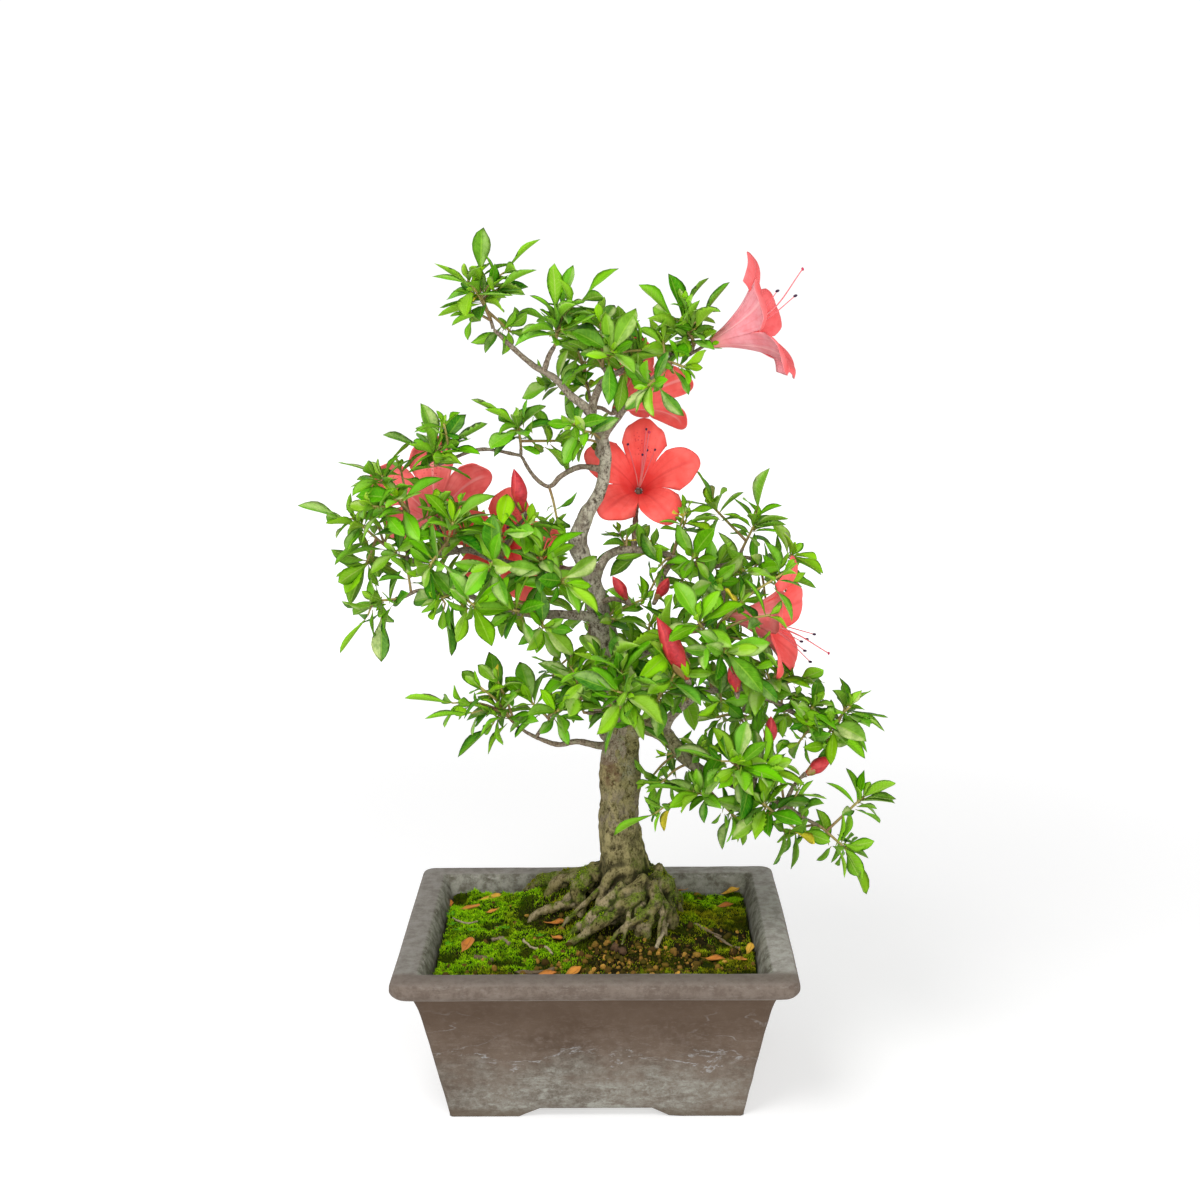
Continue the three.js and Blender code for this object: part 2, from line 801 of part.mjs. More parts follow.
// foot is where a spray's green stems leave their twig. Each shoot is [x, y, z, leaves, leaf length],
// and each tip is the far end of one more leaf, where a leaf stands out of the tree's outline.
const SPRAYS = [
  { name: 'crown_left', foot: [-49, 5, 396], shoots: [[-54, 3, 410, 3, 20], [-40, 16, 390, 3, 15]],
    tips: [[-53, 8, 442], [-74, -4, 426], [-27, 6, 438], [-27, -8, 424], [-74, -8, 399], [-53, 4, 381]] },
  { name: 'crown_whorl', foot: [-18, 6, 383], shoots: [[-17, 6, 395, 3, 20]],
    tips: [[-17, 4, 424], [-9, 16, 423], [11, 10, 424], [-33, -10, 394], [3, -14, 400]] },
  { name: 'crown_middle', foot: [6, 16, 372],
    shoots: [[1, 20, 381, 3, 20], [16, 30, 382, 3, 20], [11, -6, 381, 3, 20], [25, 4, 381, 2, 19]],
    tips: [[23, 26, 396]] },
  { name: 'crown_right', foot: [51, 10, 382], shoots: [[47, 8, 391, 2, 18]],
    tips: [[41, 14, 419], [25, 4, 414], [67, 2, 415], [60, -14, 405], [29, -6, 400]] },
  { name: 'crown_right_low', foot: [37, 0, 374], shoots: [[46, -4, 373, 3, 14], [28, -16, 365, 3, 18]],
    tips: [[52, -6, 368]] },
  { name: 'crown_back', foot: [-3, 47, 362],
    shoots: [[-4, 62, 372, 3, 21], [-9, 42, 385, 3, 20], [-21, 46, 361, 3, 20]], tips: [] },
  { name: 'upper_left', foot: [-36, 14, 331], shoots: [[-37, 12, 344, 3, 19], [-19, 26, 334, 3, 20]],
    tips: [[-59, 8, 359], [-24, 18, 354], [-50, -8, 337]] },
  { name: 'left_high', foot: [-76, -4, 326], shoots: [[-77, -4, 334, 3, 21]],
    tips: [[-82, 0, 357], [-52, 4, 346], [-101, -14, 344], [-65, 8, 352]] },
  { name: 'left_middle', foot: [-91, -10, 302], shoots: [[-94, -22, 312, 3, 21], [-104, -8, 321, 2, 21]],
    tips: [[-125, -6, 330], [-118, -18, 315]] },
  { name: 'left_tip', foot: [-105, 0, 285], shoots: [[-117, -4, 297, 2, 20], [-116, 6, 273, 3, 21]],
    tips: [[-146, -8, 308], [-122, -18, 287], [-131, 4, 268], [-125, -8, 262]] },
  { name: 'left_front', foot: [-71, -20, 288], shoots: [[-67, -30, 301, 3, 21], [-79, -32, 280, 3, 21]],
    tips: [] },
  { name: 'left_inner', foot: [-44, -20, 283], shoots: [[-44, -28, 297, 3, 20], [-49, -36, 281, 3, 20]],
    tips: [] },
  { name: 'left_inner_right', foot: [-22, -14, 275], shoots: [[-25, -26, 283, 3, 21], [-13, -32, 271, 3, 20]],
    tips: [] },
  { name: 'left_hanging', foot: [-94, -14, 261], shoots: [[-107, -13, 259, 2, 17]],
    tips: [[-128, -18, 234], [-106, -20, 229], [-123, 2, 250]] },
  { name: 'left_low_front', foot: [-65, -20, 265], shoots: [[-74, -28, 263, 3, 20], [-57, -36, 261, 3, 20]],
    tips: [[-68, -28, 234]] },
  { name: 'left_low_right', foot: [-30, -10, 252], shoots: [[-24, -24, 247, 3, 20], [-39, -28, 257, 3, 20]],
    tips: [] },
  { name: 'left_back', foot: [-66, 53, 275], shoots: [[-80, 56, 275, 3, 22], [-64, 68, 281, 3, 22]],
    tips: [] },
  { name: 'left_back_low', foot: [-35, 34, 249], shoots: [[-46, 46, 246, 3, 21], [-27, 60, 248, 3, 21]],
    tips: [] },
  { name: 'low_left', foot: [-40, -14, 195], shoots: [[-48, -16, 204, 3, 21]],
    tips: [[-51, -10, 232], [-95, -16, 212], [-84, -28, 205], [-69, -24, 181]] },
  { name: 'low_left_middle', foot: [-23, -14, 195], shoots: [[-31, -18, 207, 3, 20], [-17, -29, 206, 3, 20]],
    tips: [[-37, -4, 226]] },
  { name: 'low_left_upper', foot: [-3, -16, 201], shoots: [[-8, -22, 216, 3, 23]], tips: [[-18, -16, 249]] },
  { name: 'front', foot: [13, -42, 210],
    shoots: [[14, -50, 231, 3, 24], [4, -38, 233, 3, 23], [16, -60, 222, 3, 27]],
    tips: [[4, -58, 193], [29, -52, 247]] },
  { name: 'front_right', foot: [31, -26, 210], shoots: [[34, -42, 220, 3, 23], [40, -46, 229, 3, 23]],
    tips: [] },
  { name: 'right_top', foot: [77, 20, 278], shoots: [[83, 18, 291, 3, 19], [62, 28, 299, 3, 20]],
    tips: [[87, 14, 322], [56, 30, 319], [98, 10, 294]] },
  { name: 'right_middle', foot: [55, 8, 274], shoots: [[50, -8, 279, 3, 20], [60, -14, 267, 3, 20]],
    tips: [[56, -6, 292]] },
  { name: 'right_tip', foot: [86, 20, 270], shoots: [[94, 20, 264, 3, 20], [102, 14, 276, 3, 20]],
    tips: [[118, 10, 267], [122, 14, 250]] },
  { name: 'right_front', foot: [56, -36, 243],
    shoots: [[51, -48, 255, 3, 23], [64, -54, 241, 3, 23], [36, -31, 244, 3, 22]], tips: [] },
  { name: 'right_upper', foot: [88, -14, 211], shoots: [[87, -20, 222, 3, 22], [106, -8, 216, 3, 22]],
    tips: [] },
  { name: 'right_upper_tip', foot: [119, -10, 187], shoots: [[128, -8, 201, 3, 20], [120, -22, 196, 2, 21]],
    tips: [[141, -4, 210], [149, -14, 197]] },
  { name: 'right_low', foot: [69, -26, 171], shoots: [[71, -42, 181, 3, 23], [84, -38, 178, 3, 21]],
    tips: [[75, -38, 203], [41, -46, 193]] },
  { name: 'right_low_front', foot: [59, -26, 165], shoots: [[53, -36, 165, 3, 20], [71, -30, 150, 2, 14]],
    tips: [[26, -34, 171], [8, -32, 145], [64, -30, 133], [77, -26, 135]] },
  { name: 'right_low_middle', foot: [93, -26, 152], shoots: [[84, -38, 160, 3, 21], [104, -24, 140, 3, 19]],
    tips: [] },
  { name: 'right_low_tip', foot: [113, -22, 143], shoots: [[128, -18, 129, 3, 18], [137, -14, 155, 3, 18]],
    tips: [[141, -16, 124], [140, -20, 105], [153, -16, 155], [137, -12, 169]] },
  { name: 'right_back', foot: [70, 60, 236], shoots: [[79, 70, 241, 3, 21], [60, 76, 242, 3, 21]], tips: [] },
  { name: 'right_back_low', foot: [76, 30, 186], shoots: [[76, 46, 190, 3, 21], [95, 42, 178, 3, 21]],
    tips: [] },
  { name: 'right_back_middle', foot: [35, 56, 204], shoots: [[31, 68, 210, 3, 21], [47, 72, 189, 3, 21]],
    tips: [] },
  { name: 'back', foot: [-3, 64, 227], shoots: [[-9, 78, 233, 3, 21], [7, 80, 231, 3, 21]], tips: [] },
  { name: 'back_low', foot: [-5, 62, 185], shoots: [[-12, 76, 188, 3, 21], [4, 80, 188, 3, 21]], tips: [] },
];

const SHOOT_RADIUS = 0.8;
const GOLDEN_ANGLE = 137.5;
const LEAF_SPACING = 1.3; // along the shoot from one leaf to the next
const LEAF_WIDTH = 0.36; // of its length
const WIDEST_LEAF = 10;
// [share of the length, share of the greatest width] along a long leaf and along the others
const LONG_LEAF = [
  [0, 0.07],
  [0.34, 0.66],
  [0.66, 1],
];
const SHORT_LEAF = [
  [0, 0.07],
  [0.54, 1],
];
// Ways that a leaf bends clear of its neighbours, tried in this order: degrees about its shoot,
// degrees up from its place, and a share of its length.
const LEAF_BENDS = [
  [0, 0, 1],
  [0, 14, 1],
  [14, 0, 1],
  [-14, 0, 1],
  [0, -14, 1],
  [24, 14, 0.95],
  [-24, 14, 0.95],
  [0, 28, 0.9],
  [36, -8, 0.85],
  [-36, -8, 0.85],
  [0, -30, 0.8],
  [52, 20, 0.75],
  [-52, 20, 0.75],
  [0, 0, 0.6],
];

/** A leaf's blade: flat above, keeled along its rib below, widest past its middle and drooping. */
function leafSolid({ outline, base, direction, upwards, length, width, droop }) {
  const side = direction.clone().cross(upwards).normalize();
  const up = side.clone().cross(direction);
  const middleAt = (share) =>
    base
      .clone()
      .addScaledVector(direction, length * share)
      .addScaledVector(up, -droop * length * share * share);
  const rings = outline.map(([share, breadth]) => {
    const half = (width / 2) * breadth;
    const rib = middleAt(share);
    const thick = LEAF_THICK * (share === 0 ? 0.45 : 1);
    return [
      rib.clone().addScaledVector(side, -half),
      rib.clone().addScaledVector(side, half),
      rib.clone().addScaledVector(up, -thick),
    ];
  });
  return loft([...rings, [middleAt(1)]]);
}

/** Where a shoot's own leaves sit: turned by the golden angle, from the lowest and flattest up. */
function whorl(route, shoot, seed) {
  const [x, y, z, count, leafLength] = shoot;
  const top = new THREE.Vector3(x, y, z);
  const down = vector(route[route.length - 2]).sub(top).normalize();
  const axis = new THREE.Vector3(0, 0, 0.5).sub(down).normalize();
  const sideways = new THREE.Vector3(0.3, 1, 0).cross(axis).normalize();
  const forwards = axis.clone().cross(sideways);
  return Array.from({ length: count }, (_, index) => {
    const random = seeded(seed * 50 + index);
    const share = (index + 0.5) / count;
    const turn = seed * 77 + index * GOLDEN_ANGLE + 24 * (random() - 0.5);
    const lean = 84 - 48 * share + 16 * (random() - 0.5);
    const length = leafLength * (0.9 + 0.3 * random());
    const root = rootOnStem(route, count - index - 0.3);
    return { root, axis, sideways, forwards, turn, lean, length, droop: 0.08 + 0.16 * random() };
  });
}

/** One of the whorl's leaves, bent by degrees about the shoot and upwards, and shortened. */
function whorlLeaf(place, [turnBy, raiseBy, shorten]) {
  const turn = ((place.turn + turnBy) * Math.PI) / 180;
  const lean = ((place.lean - raiseBy) * Math.PI) / 180;
  const outwards = place.sideways
    .clone()
    .multiplyScalar(Math.cos(turn))
    .addScaledVector(place.forwards, Math.sin(turn));
  const direction = outwards.clone().multiplyScalar(Math.sin(lean)).addScaledVector(place.axis, Math.cos(lean));
  const upwards = place.axis.clone().multiplyScalar(Math.sin(lean)).addScaledVector(outwards, -Math.cos(lean));
  const length = place.length * shorten;
  const base = place.root.clone().addScaledVector(direction, 0.1);
  const width = length * LEAF_WIDTH;
  return { outline: SHORT_LEAF, base, direction, upwards, length, width, droop: place.droop };
}

/** The point of a stem that the next leaf grows from, counted down from its top. */
function rootOnStem(route, order) {
  const top = vector(route[route.length - 1]);
  const down = vector(route[route.length - 2]).sub(top).normalize();
  return top.addScaledVector(down, order * LEAF_SPACING);
}

/** The stem whose top lies nearest to a point. */
function nearestStem(routes, point) {
  const away = (route) => vector(route[route.length - 1]).distanceTo(point);
  return routes.reduce((near, other) => (away(other) < away(near) ? other : near));
}

/** A leaf from its root on a stem to a point of its own, bent as the others are. */
function tipLeaf(root, tip, [turnBy, raiseBy, shorten]) {
  const direction = vector(tip).sub(root);
  const reach = direction.length();
  direction.applyAxisAngle(new THREE.Vector3(0, 0, 1), (0.4 * turnBy * Math.PI) / 180).normalize();
  const level = new THREE.Vector3(-direction.y, direction.x, 0).normalize();
  if (level.lengthSq() < 0.5) level.set(1, 0, 0);
  direction.applyAxisAngle(level, (-0.4 * raiseBy * Math.PI) / 180);
  const upwards = direction.clone().cross(level).normalize();
  upwards.multiplyScalar(Math.sign(upwards.z) || 1);
  const length = reach * shorten;
  const width = Math.min(length * LEAF_WIDTH, WIDEST_LEAF);
  return { outline: LONG_LEAF, base: root, direction, upwards, length, width, droop: 0.04 };
}

/** True where a solid keeps its distance from every obstacle. */
function isClear(solid, obstacles) {
  const box = boxOf(solid, GAP);
  return obstacles.every((obstacle) => {
    if (!box.intersectsBox(obstacle.box)) return true;
    return solid.minGap(obstacle.solid, 2 * GAP) >= GAP;
  });
}

/** The first way of bending a leaf that keeps it clear, or nothing where there is none. */
function bentClear(shape, obstacles) {
  for (const bend of LEAF_BENDS) {
    const leaf = leafSolid(shape(bend));
    if (isClear(leaf, obstacles)) return leaf;
  }
  return null;
}

/**
 * The routes of a spray's green stems. The first starts just clear of its twig, in line with it,
 * and turns to the first shoot. The others leave it on the way, each a little further on.
 */
function stemRoutes(foot, shoots) {
  const [before, end] = twigRoute(foot).slice(-2).map(vector);
  const onward = end.clone().sub(before).normalize();
  const start = end.clone().addScaledVector(onward, GAP + 0.1);
  const fork = start.clone().addScaledVector(onward, 1.6);
  return shoots.map((shoot, index) => {
    const from = index === 0 ? fork : fork.clone().lerp(vector(shoots[0]), 0.22 * index);
    const route = [[...from.toArray(), SHOOT_RADIUS], [shoot[0], shoot[1], shoot[2], SHOOT_RADIUS]];
    return index === 0 ? [[...start.toArray(), SHOOT_RADIUS], ...route] : route;
  });
}

/** A spray: green stems from one foot to each shoot, with the leaves that find room there. */
function spraySolid({ foot, shoots, tips }, seed, obstacles) {
  const routes = stemRoutes(foot, shoots);
  const stems = routes.map((route) => stem(route, 3));
  const leaves = [];
  tips.forEach((tip, order) => {
    const root = rootOnStem(nearestStem(routes, vector(tip)), order + 0.2);
    leaves.push(bentClear((bend) => tipLeaf(root, tip, bend), obstacles));
  });
  shoots.forEach((shoot, index) => {
    for (const place of whorl(routes[index], shoot, seed + 3 * index)) {
      leaves.push(bentClear((bend) => whorlLeaf(place, bend), obstacles));
    }
  });
  return fused([...stems, ...leaves.filter((leaf) => leaf !== null)]);
}

// ---------- fallen leaves ----------

// [x, y, degrees about Z, length]
const FALLEN_LEAVES = [
  [-67, -19, 75, 16],
  [-60, 48, 25, 14],
  [-27, -53, 15, 17],
  [60, -30, -20, 14],
];

/** A dry leaf, curled up at its edges, let down until it almost touches the soil. */
function fallenLeaf([x, y, degrees, length], soil) {
  const turn = (degrees * Math.PI) / 180;
  const direction = new THREE.Vector3(Math.cos(turn), Math.sin(turn), 0);
  const upwards = new THREE.Vector3(0, 0, 1);
  const shape = { outline: LONG_LEAF, direction, upwards, length, width: 0.42 * length, droop: -0.06 };
  let leaf = null;
  for (let lift = 0; lift < 6; lift += 0.2) {
    const base = new THREE.Vector3(x, y, soilHeight(x, y) + lift).addScaledVector(direction, -length / 2);
    leaf = leafSolid({ ...shape, base });
    if (leaf.minGap(soil, 1) >= GAP) return leaf;
  }
  return leaf;
}

// ---------- the whole tree ----------

const GREENS = [0x4f9a2a, 0x3f8a24, 0x5cab30, 0x468f2b];

function makeTree() {
  const tree = new THREE.Group();
  const pot = makePot();
  tree.add(pot, makeScreen('drain_screen_left', -POT.holeX), makeScreen('drain_screen_right', POT.holeX));

  const rooted = (grow) => [stem(TRUNK, 11, grow, trunkRelief), ...ROOTS.map((root) => stem(root, 5, grow))];
  const limbs = Object.values(LIMBS).map((limb) => stem(limb, 5));
  const twigs = SPRAYS.map(({ foot }) => stem(twigRoute(foot), 3));
  const stalks = BLOOMS.map(({ at, face, size }) => stalkSolid(at, face, 2 * size));
  for (const { from, to, wide } of BUDS) {
    stalks.push(stalkSolid(from, vector(to).sub(vector(from)).toArray(), 0.4 * wide));
  }
  const woodSolids = [...rooted(0), ...limbs, ...twigs, ...stalks];
  tree.add(piece('wood', fused(woodSolids), 0x7a6f5c, 0.85));

  const screenPockets = [-1, 1].map((side) => {
    const size = SCREEN.size + 2 * GAP;
    const pocket = new THREE.BoxGeometry(size, size, 4);
    pocket.translate(side * POT.holeX, 0, POT.floorTop + 2 * GAP + SCREEN.thick - 2);
    return solidOf(pocket);
  });
  const soil = soilBlock().subtract(Manifold.union([...rooted(GAP + 0.1), ...screenPockets]));
  tree.add(piece('soil', fused([soil]), 0x4c5a24, 0.95));

  const obstacles = woodSolids.map((solid) => ({ solid, box: boxOf(solid) }));
  for (const bloom of BLOOMS) {
    const solid = bloomSolid(bloom);
    obstacles.push({ solid, box: boxOf(solid) });
    tree.add(piece(bloom.name, solid, 0xe8605f, 0.6));
  }
  for (const bud of BUDS) {
    const solid = budSolid(bud);
    obstacles.push({ solid, box: boxOf(solid) });
    tree.add(piece(bud.name, solid, 0xb51f36, 0.5));
  }
  SPRAYS.forEach((spray, index) => {
    const solid = spraySolid(spray, index * 10, obstacles);
    obstacles.push({ solid, box: boxOf(solid) });
    tree.add(piece(`spray_${spray.name}`, solid, GREENS[index % GREENS.length], 0.45));
  });
  FALLEN_LEAVES.forEach((place, index) => {
    tree.add(piece(`fallen_leaf_${index + 1}`, fallenLeaf(place, soil), 0xb5662c, 0.8));
  });
  return tree;
}

const tree = makeTree();
const middle = new THREE.Box3().setFromObject(tree).getCenter(new THREE.Vector3());
tree.position.set(-middle.x, -middle.y, 0);

const bonsai = new THREE.Group();
bonsai.add(tree);
export default bonsai;
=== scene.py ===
import itertools
import math
import random

import bpy
import numpy as np
from mathutils import Matrix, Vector
from mathutils.kdtree import KDTree


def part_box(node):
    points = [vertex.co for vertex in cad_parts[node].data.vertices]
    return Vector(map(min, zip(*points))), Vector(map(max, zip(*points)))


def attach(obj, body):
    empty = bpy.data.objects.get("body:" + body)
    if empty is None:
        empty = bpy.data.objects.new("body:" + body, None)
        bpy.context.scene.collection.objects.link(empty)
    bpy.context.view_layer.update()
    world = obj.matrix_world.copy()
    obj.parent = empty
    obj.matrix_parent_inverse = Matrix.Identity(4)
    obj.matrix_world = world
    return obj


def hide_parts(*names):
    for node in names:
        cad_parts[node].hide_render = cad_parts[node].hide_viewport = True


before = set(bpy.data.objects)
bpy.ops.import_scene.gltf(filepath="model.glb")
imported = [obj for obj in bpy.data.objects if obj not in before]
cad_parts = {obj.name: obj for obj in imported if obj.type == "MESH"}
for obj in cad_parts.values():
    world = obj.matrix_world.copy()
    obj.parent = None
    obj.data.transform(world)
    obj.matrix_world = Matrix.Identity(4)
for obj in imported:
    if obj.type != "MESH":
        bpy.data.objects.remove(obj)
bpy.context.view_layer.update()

# Everything is laid out in millimetres from the middle of the pot, as the tree itself is.
MM = 0.001
POT_LOW, POT_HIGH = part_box("pot")
POT_MIDDLE = (np.array(POT_LOW) + np.array(POT_HIGH)) / 2 / MM * (1, 1, 0)

# The gap between pieces that touch, and the heights of the pot's inner floor and of the soil at its edge
GAP = 0.3
FLOOR_TOP = 12
SOIL_EDGE = 74


# ---------- numbers and vectors ----------

def vec(*values):
    return np.array(values, float)


def unit(vector):
    size = np.linalg.norm(vector)
    return vector / size if size > 0 else vector


def turned(vector, axis, degrees):
    """A vector turned about an axis of length one."""
    angle = math.radians(degrees)
    part = axis * np.dot(axis, vector) * (1 - math.cos(angle))
    return vector * math.cos(angle) + np.cross(axis, vector) * math.sin(angle) + part


def smooth(value, low, high):
    """0 below low, 1 above high, with a soft step between."""
    share = np.clip((np.asarray(value, float) - low) / (high - low), 0, 1)
    return share * share * (3 - 2 * share)


def fade(value, low, high):
    """1 below low, 0 above high, with a soft step between."""
    return smooth(-np.asarray(value, float), -high, -low)


def ring_angles(count):
    """Angles in radians, spread evenly round a circle."""
    return 2 * math.pi * np.arange(count) / count


def spoke(angle, rise=0.0):
    """A step of one away from the Z axis at an angle in radians, and up by a rise."""
    return vec(math.cos(angle), math.sin(angle), rise)


def seeded(seed):
    """The tree's own row of random numbers from 0 to 1, each worked out from the one before."""
    prime, factor = 2147483647, 48271
    state = (seed * 7919 + 12345) % prime

    def draw():
        nonlocal state
        state = state * factor % prime
        return state / prime

    draw()
    return draw


# Large odd numbers that stir a cell's place and a seed together, and the bits that are kept
MIXERS = (374761393, 668265263, 2147483647, 1274126177)
LOW_BITS = 0x7FFFFFFF


def lattice(cell, seed):
    """A fixed random number from -1 to 1 for each cell of a lattice."""
    x, y, z = (cell[..., axis].astype(np.int64) for axis in range(3))
    mixed = (x * MIXERS[0] + y * MIXERS[1] + z * MIXERS[2] + seed * MIXERS[3]) & LOW_BITS
    mixed = ((mixed ^ (mixed >> 13)) * MIXERS[3]) & LOW_BITS
    mixed = mixed ^ (mixed >> 16)
    return (mixed % 65536) / 32767.5 - 1


def cloud(points, size, seed=0, octaves=1):
    """Soft noise from about -1 to 1 whose lumps are size millimetres across."""
    total = 0
    for octave in range(octaves):
        scaled = np.asarray(points, float) / size * 2 ** octave
        cell = np.floor(scaled)
        share = scaled - cell
        share = share * share * (3 - 2 * share)
        value = 0
        for corner in range(8):
            step = np.array([corner & 1, corner >> 1 & 1, corner >> 2 & 1])
            weight = np.prod(np.where(step == 1, share, 1 - share), axis=-1)
            value = value + weight * lattice(cell + step, seed + 17 * octave)
        total = total + value * 1.6 / 2 ** octave
    return total


# ---------- meshes ----------

def metres(points):
    """Places in the scene, in metres, from the tree's own millimetres."""
    return (points + POT_MIDDLE) * MM


def in_scene(name, data):
    """Puts a mesh, a lamp or a camera in the scene as an object."""
    thing = bpy.data.objects.new(name, data)
    bpy.context.scene.collection.objects.link(thing)
    return thing


def with_modifiers(thing):
    """An object's mesh as its modifiers leave it."""
    return bpy.data.meshes.new_from_object(thing.evaluated_get(bpy.context.evaluated_depsgraph_get()))


def mesh_points(mesh):
    """A mesh's points, in the tree's own millimetres, and the directions that they face."""
    places = np.empty(3 * len(mesh.vertices))
    mesh.vertices.foreach_get("co", places)
    directions = np.empty(3 * len(mesh.vertices))
    mesh.vertices.foreach_get("normal", directions)
    return places.reshape(-1, 3) / MM - POT_MIDDLE, directions.reshape(-1, 3)


def set_points(mesh, points):
    mesh.vertices.foreach_set("co", metres(points).ravel())
    mesh.update()


def set_value(mesh, name, values):
    """Gives each point of a mesh a value that its material can read."""
    layer = mesh.attributes.new(name, "FLOAT", "POINT")
    layer.data.foreach_set("value", np.asarray(values, np.float32))


def search_tree(points):
    """A tree that finds the nearest of some points."""
    tree = KDTree(len(points))
    for index, point in enumerate(points):
        tree.insert(point, index)
    tree.balance()
    return tree


class Build:
    """The points and faces of one piece, gathered shape by shape, with values on its points."""

    def __init__(self, *values):
        self.points, self.faces, self.slots = [], [], []
        self.values = {name: [] for name in values}
        self.count = 0

    def add(self, points, faces, slot=0, **values):
        points = np.asarray(points, float)
        self.points.append(points)
        self.faces.extend(tuple(corner + self.count for corner in face) for face in faces)
        self.slots.extend([slot] * len(faces))
        for name, column in self.values.items():
            column.append(np.broadcast_to(np.asarray(values.get(name, 0), float), len(points)))
        self.count += len(points)

    def mesh(self, name):
        mesh = bpy.data.meshes.new(name)
        mesh.from_pydata(metres(np.concatenate(self.points)), [], self.faces)
        for value, columns in self.values.items():
            set_value(mesh, value, np.concatenate(columns))
        mesh.polygons.foreach_set("material_index", self.slots)
        return mesh

    def piece(self, name, slot, materials, replaces=(), flat=False):
        return dress(self.mesh(name), name, materials, replaces, flat)


def dress(mesh, name, materials, replaces=(), flat=False):
    """Puts a mesh in the scene as a piece that rides with the tree."""
    for material in materials:
        mesh.materials.append(material)
    mesh.polygons.foreach_set("use_smooth", [not flat] * len(mesh.polygons))
    mesh.update()
    piece = in_scene(name, mesh)
    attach(piece, "root")
    if replaces:
        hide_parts(*replaces)
    return piece


def loft(rings, tip=None):
    """Points and faces through rings of as many points each, closed by flat ends or by a tip."""
    rings = np.asarray(rings)
    count, sides = rings.shape[:2]
    points = rings.reshape(-1, 3)
    near = np.arange(sides)
    far = (near + 1) % sides
    faces = []
    for band in range(count - 1):
        low, high = band * sides, (band + 1) * sides
        faces.extend(zip(low + near, low + far, high + far, high + near))
    faces.append(tuple(near[::-1]))
    last = (count - 1) * sides
    if tip is None:
        faces.append(tuple(last + near))
    else:
        points = np.vstack([points, tip])
        faces.extend(zip(last + near, last + far, np.full(sides, len(points) - 1)))
    return points, faces


def curve(route, step):
    """A smooth curve through a route's points, each with its radius, in steps of about one length."""
    route = np.asarray(route, float)
    ends = np.vstack([2 * route[0] - route[1], route, 2 * route[-1] - route[-2]])
    rows = []
    for before, here, after, beyond in zip(ends, ends[1:], ends[2:], ends[3:]):
        count = max(int(np.linalg.norm(after[:3] - here[:3]) / step), 1)
        for share in np.arange(count) / count:
            bend = 2 * before - 5 * here + 4 * after - beyond
            swing = 3 * here - before - 3 * after + beyond
            rows.append(here + 0.5 * share * (after - before + share * (bend + share * swing)))
    rows.append(route[-1])
    return np.array(rows)


def sections(route, sides, relief=None):
    """Rings round a route of x, y, z and radius, carried along it without twist."""
    points, radii = route[:, :3], route[:, 3]
    angles = ring_angles(sides)
    across = None
    rings = []
    for index, point in enumerate(points):
        along = unit(points[min(index + 1, len(points) - 1)] - points[max(index - 1, 0)])
        if across is None:
            across = vec(1, 0, 0) if abs(along[0]) < 0.8 else vec(0, 1, 0)
        across = unit(across - along * np.dot(across, along))
        third = np.cross(along, across)
        radius = radii[index] * (relief(angles, point[2]) if relief else np.ones(sides))
        spokes = np.outer(np.cos(angles), across) + np.outer(np.sin(angles), third)
        rings.append(point + radius[:, None] * spokes)
    return np.array(rings)


def tube(route, sides, relief=None):
    return loft(sections(route, sides, relief))


# How many steps a round loop has along each side and round each corner
SIDE_STEPS, CORNER_STEPS = 60, 6


def round_loop(half_x, half_y, corner):
    """An anticlockwise rectangle with round corners, with as many points whatever its size."""
    loop = []
    corners = [(1, 1), (-1, 1), (-1, -1), (1, -1)]
    for quarter, (sign_x, sign_y) in enumerate(corners):
        middle = vec(sign_x * (half_x - corner), sign_y * (half_y - corner))
        for step in range(CORNER_STEPS + 1):
            angle = (quarter + step / CORNER_STEPS) * math.pi / 2
            loop.append(middle + corner * vec(math.cos(angle), math.sin(angle)))
        next_x, next_y = corners[(quarter + 1) % 4]
        angle = (quarter + 1) * math.pi / 2
        rim = corner * vec(math.cos(angle), math.sin(angle))
        to = vec(next_x * (half_x - corner), next_y * (half_y - corner)) + rim
        loop.extend(loop[-1] + (to - loop[-1]) * step / SIDE_STEPS for step in range(1, SIDE_STEPS))
    return np.array(loop)


# ---------- shader wires ----------

class Wire:
    """The output of a shader node, used like a number."""

    def __init__(self, look, socket):
        self.look = look
        self.socket = socket

    def __add__(self, other):
        return self.look.math("ADD", self, other)

    def __sub__(self, other):
        return self.look.math("SUBTRACT", self, other)

    def __rsub__(self, other):
        return self.look.math("SUBTRACT", other, self)

    def __mul__(self, other):
        return self.look.math("MULTIPLY", self, other)

    def __abs__(self):
        return self.look.math("ABSOLUTE", self)

    __radd__ = __add__
    __rmul__ = __mul__

    def off(self, middle):
        """The square of how far the number is from a middle."""
        away = self - middle
        return away * away

    def coat(self, share, color):
        """This colour with a share of another over it."""
        return self.look.blend(share, self, color)

    def between(self, low, high):
        """0 below low, 1 above high, with a soft step between."""
        ends = {"From Min": low, "From Max": high}
        return self.look.node("MapRange", {"interpolation_type": "SMOOTHSTEP"}, {"Value": self, **ends})


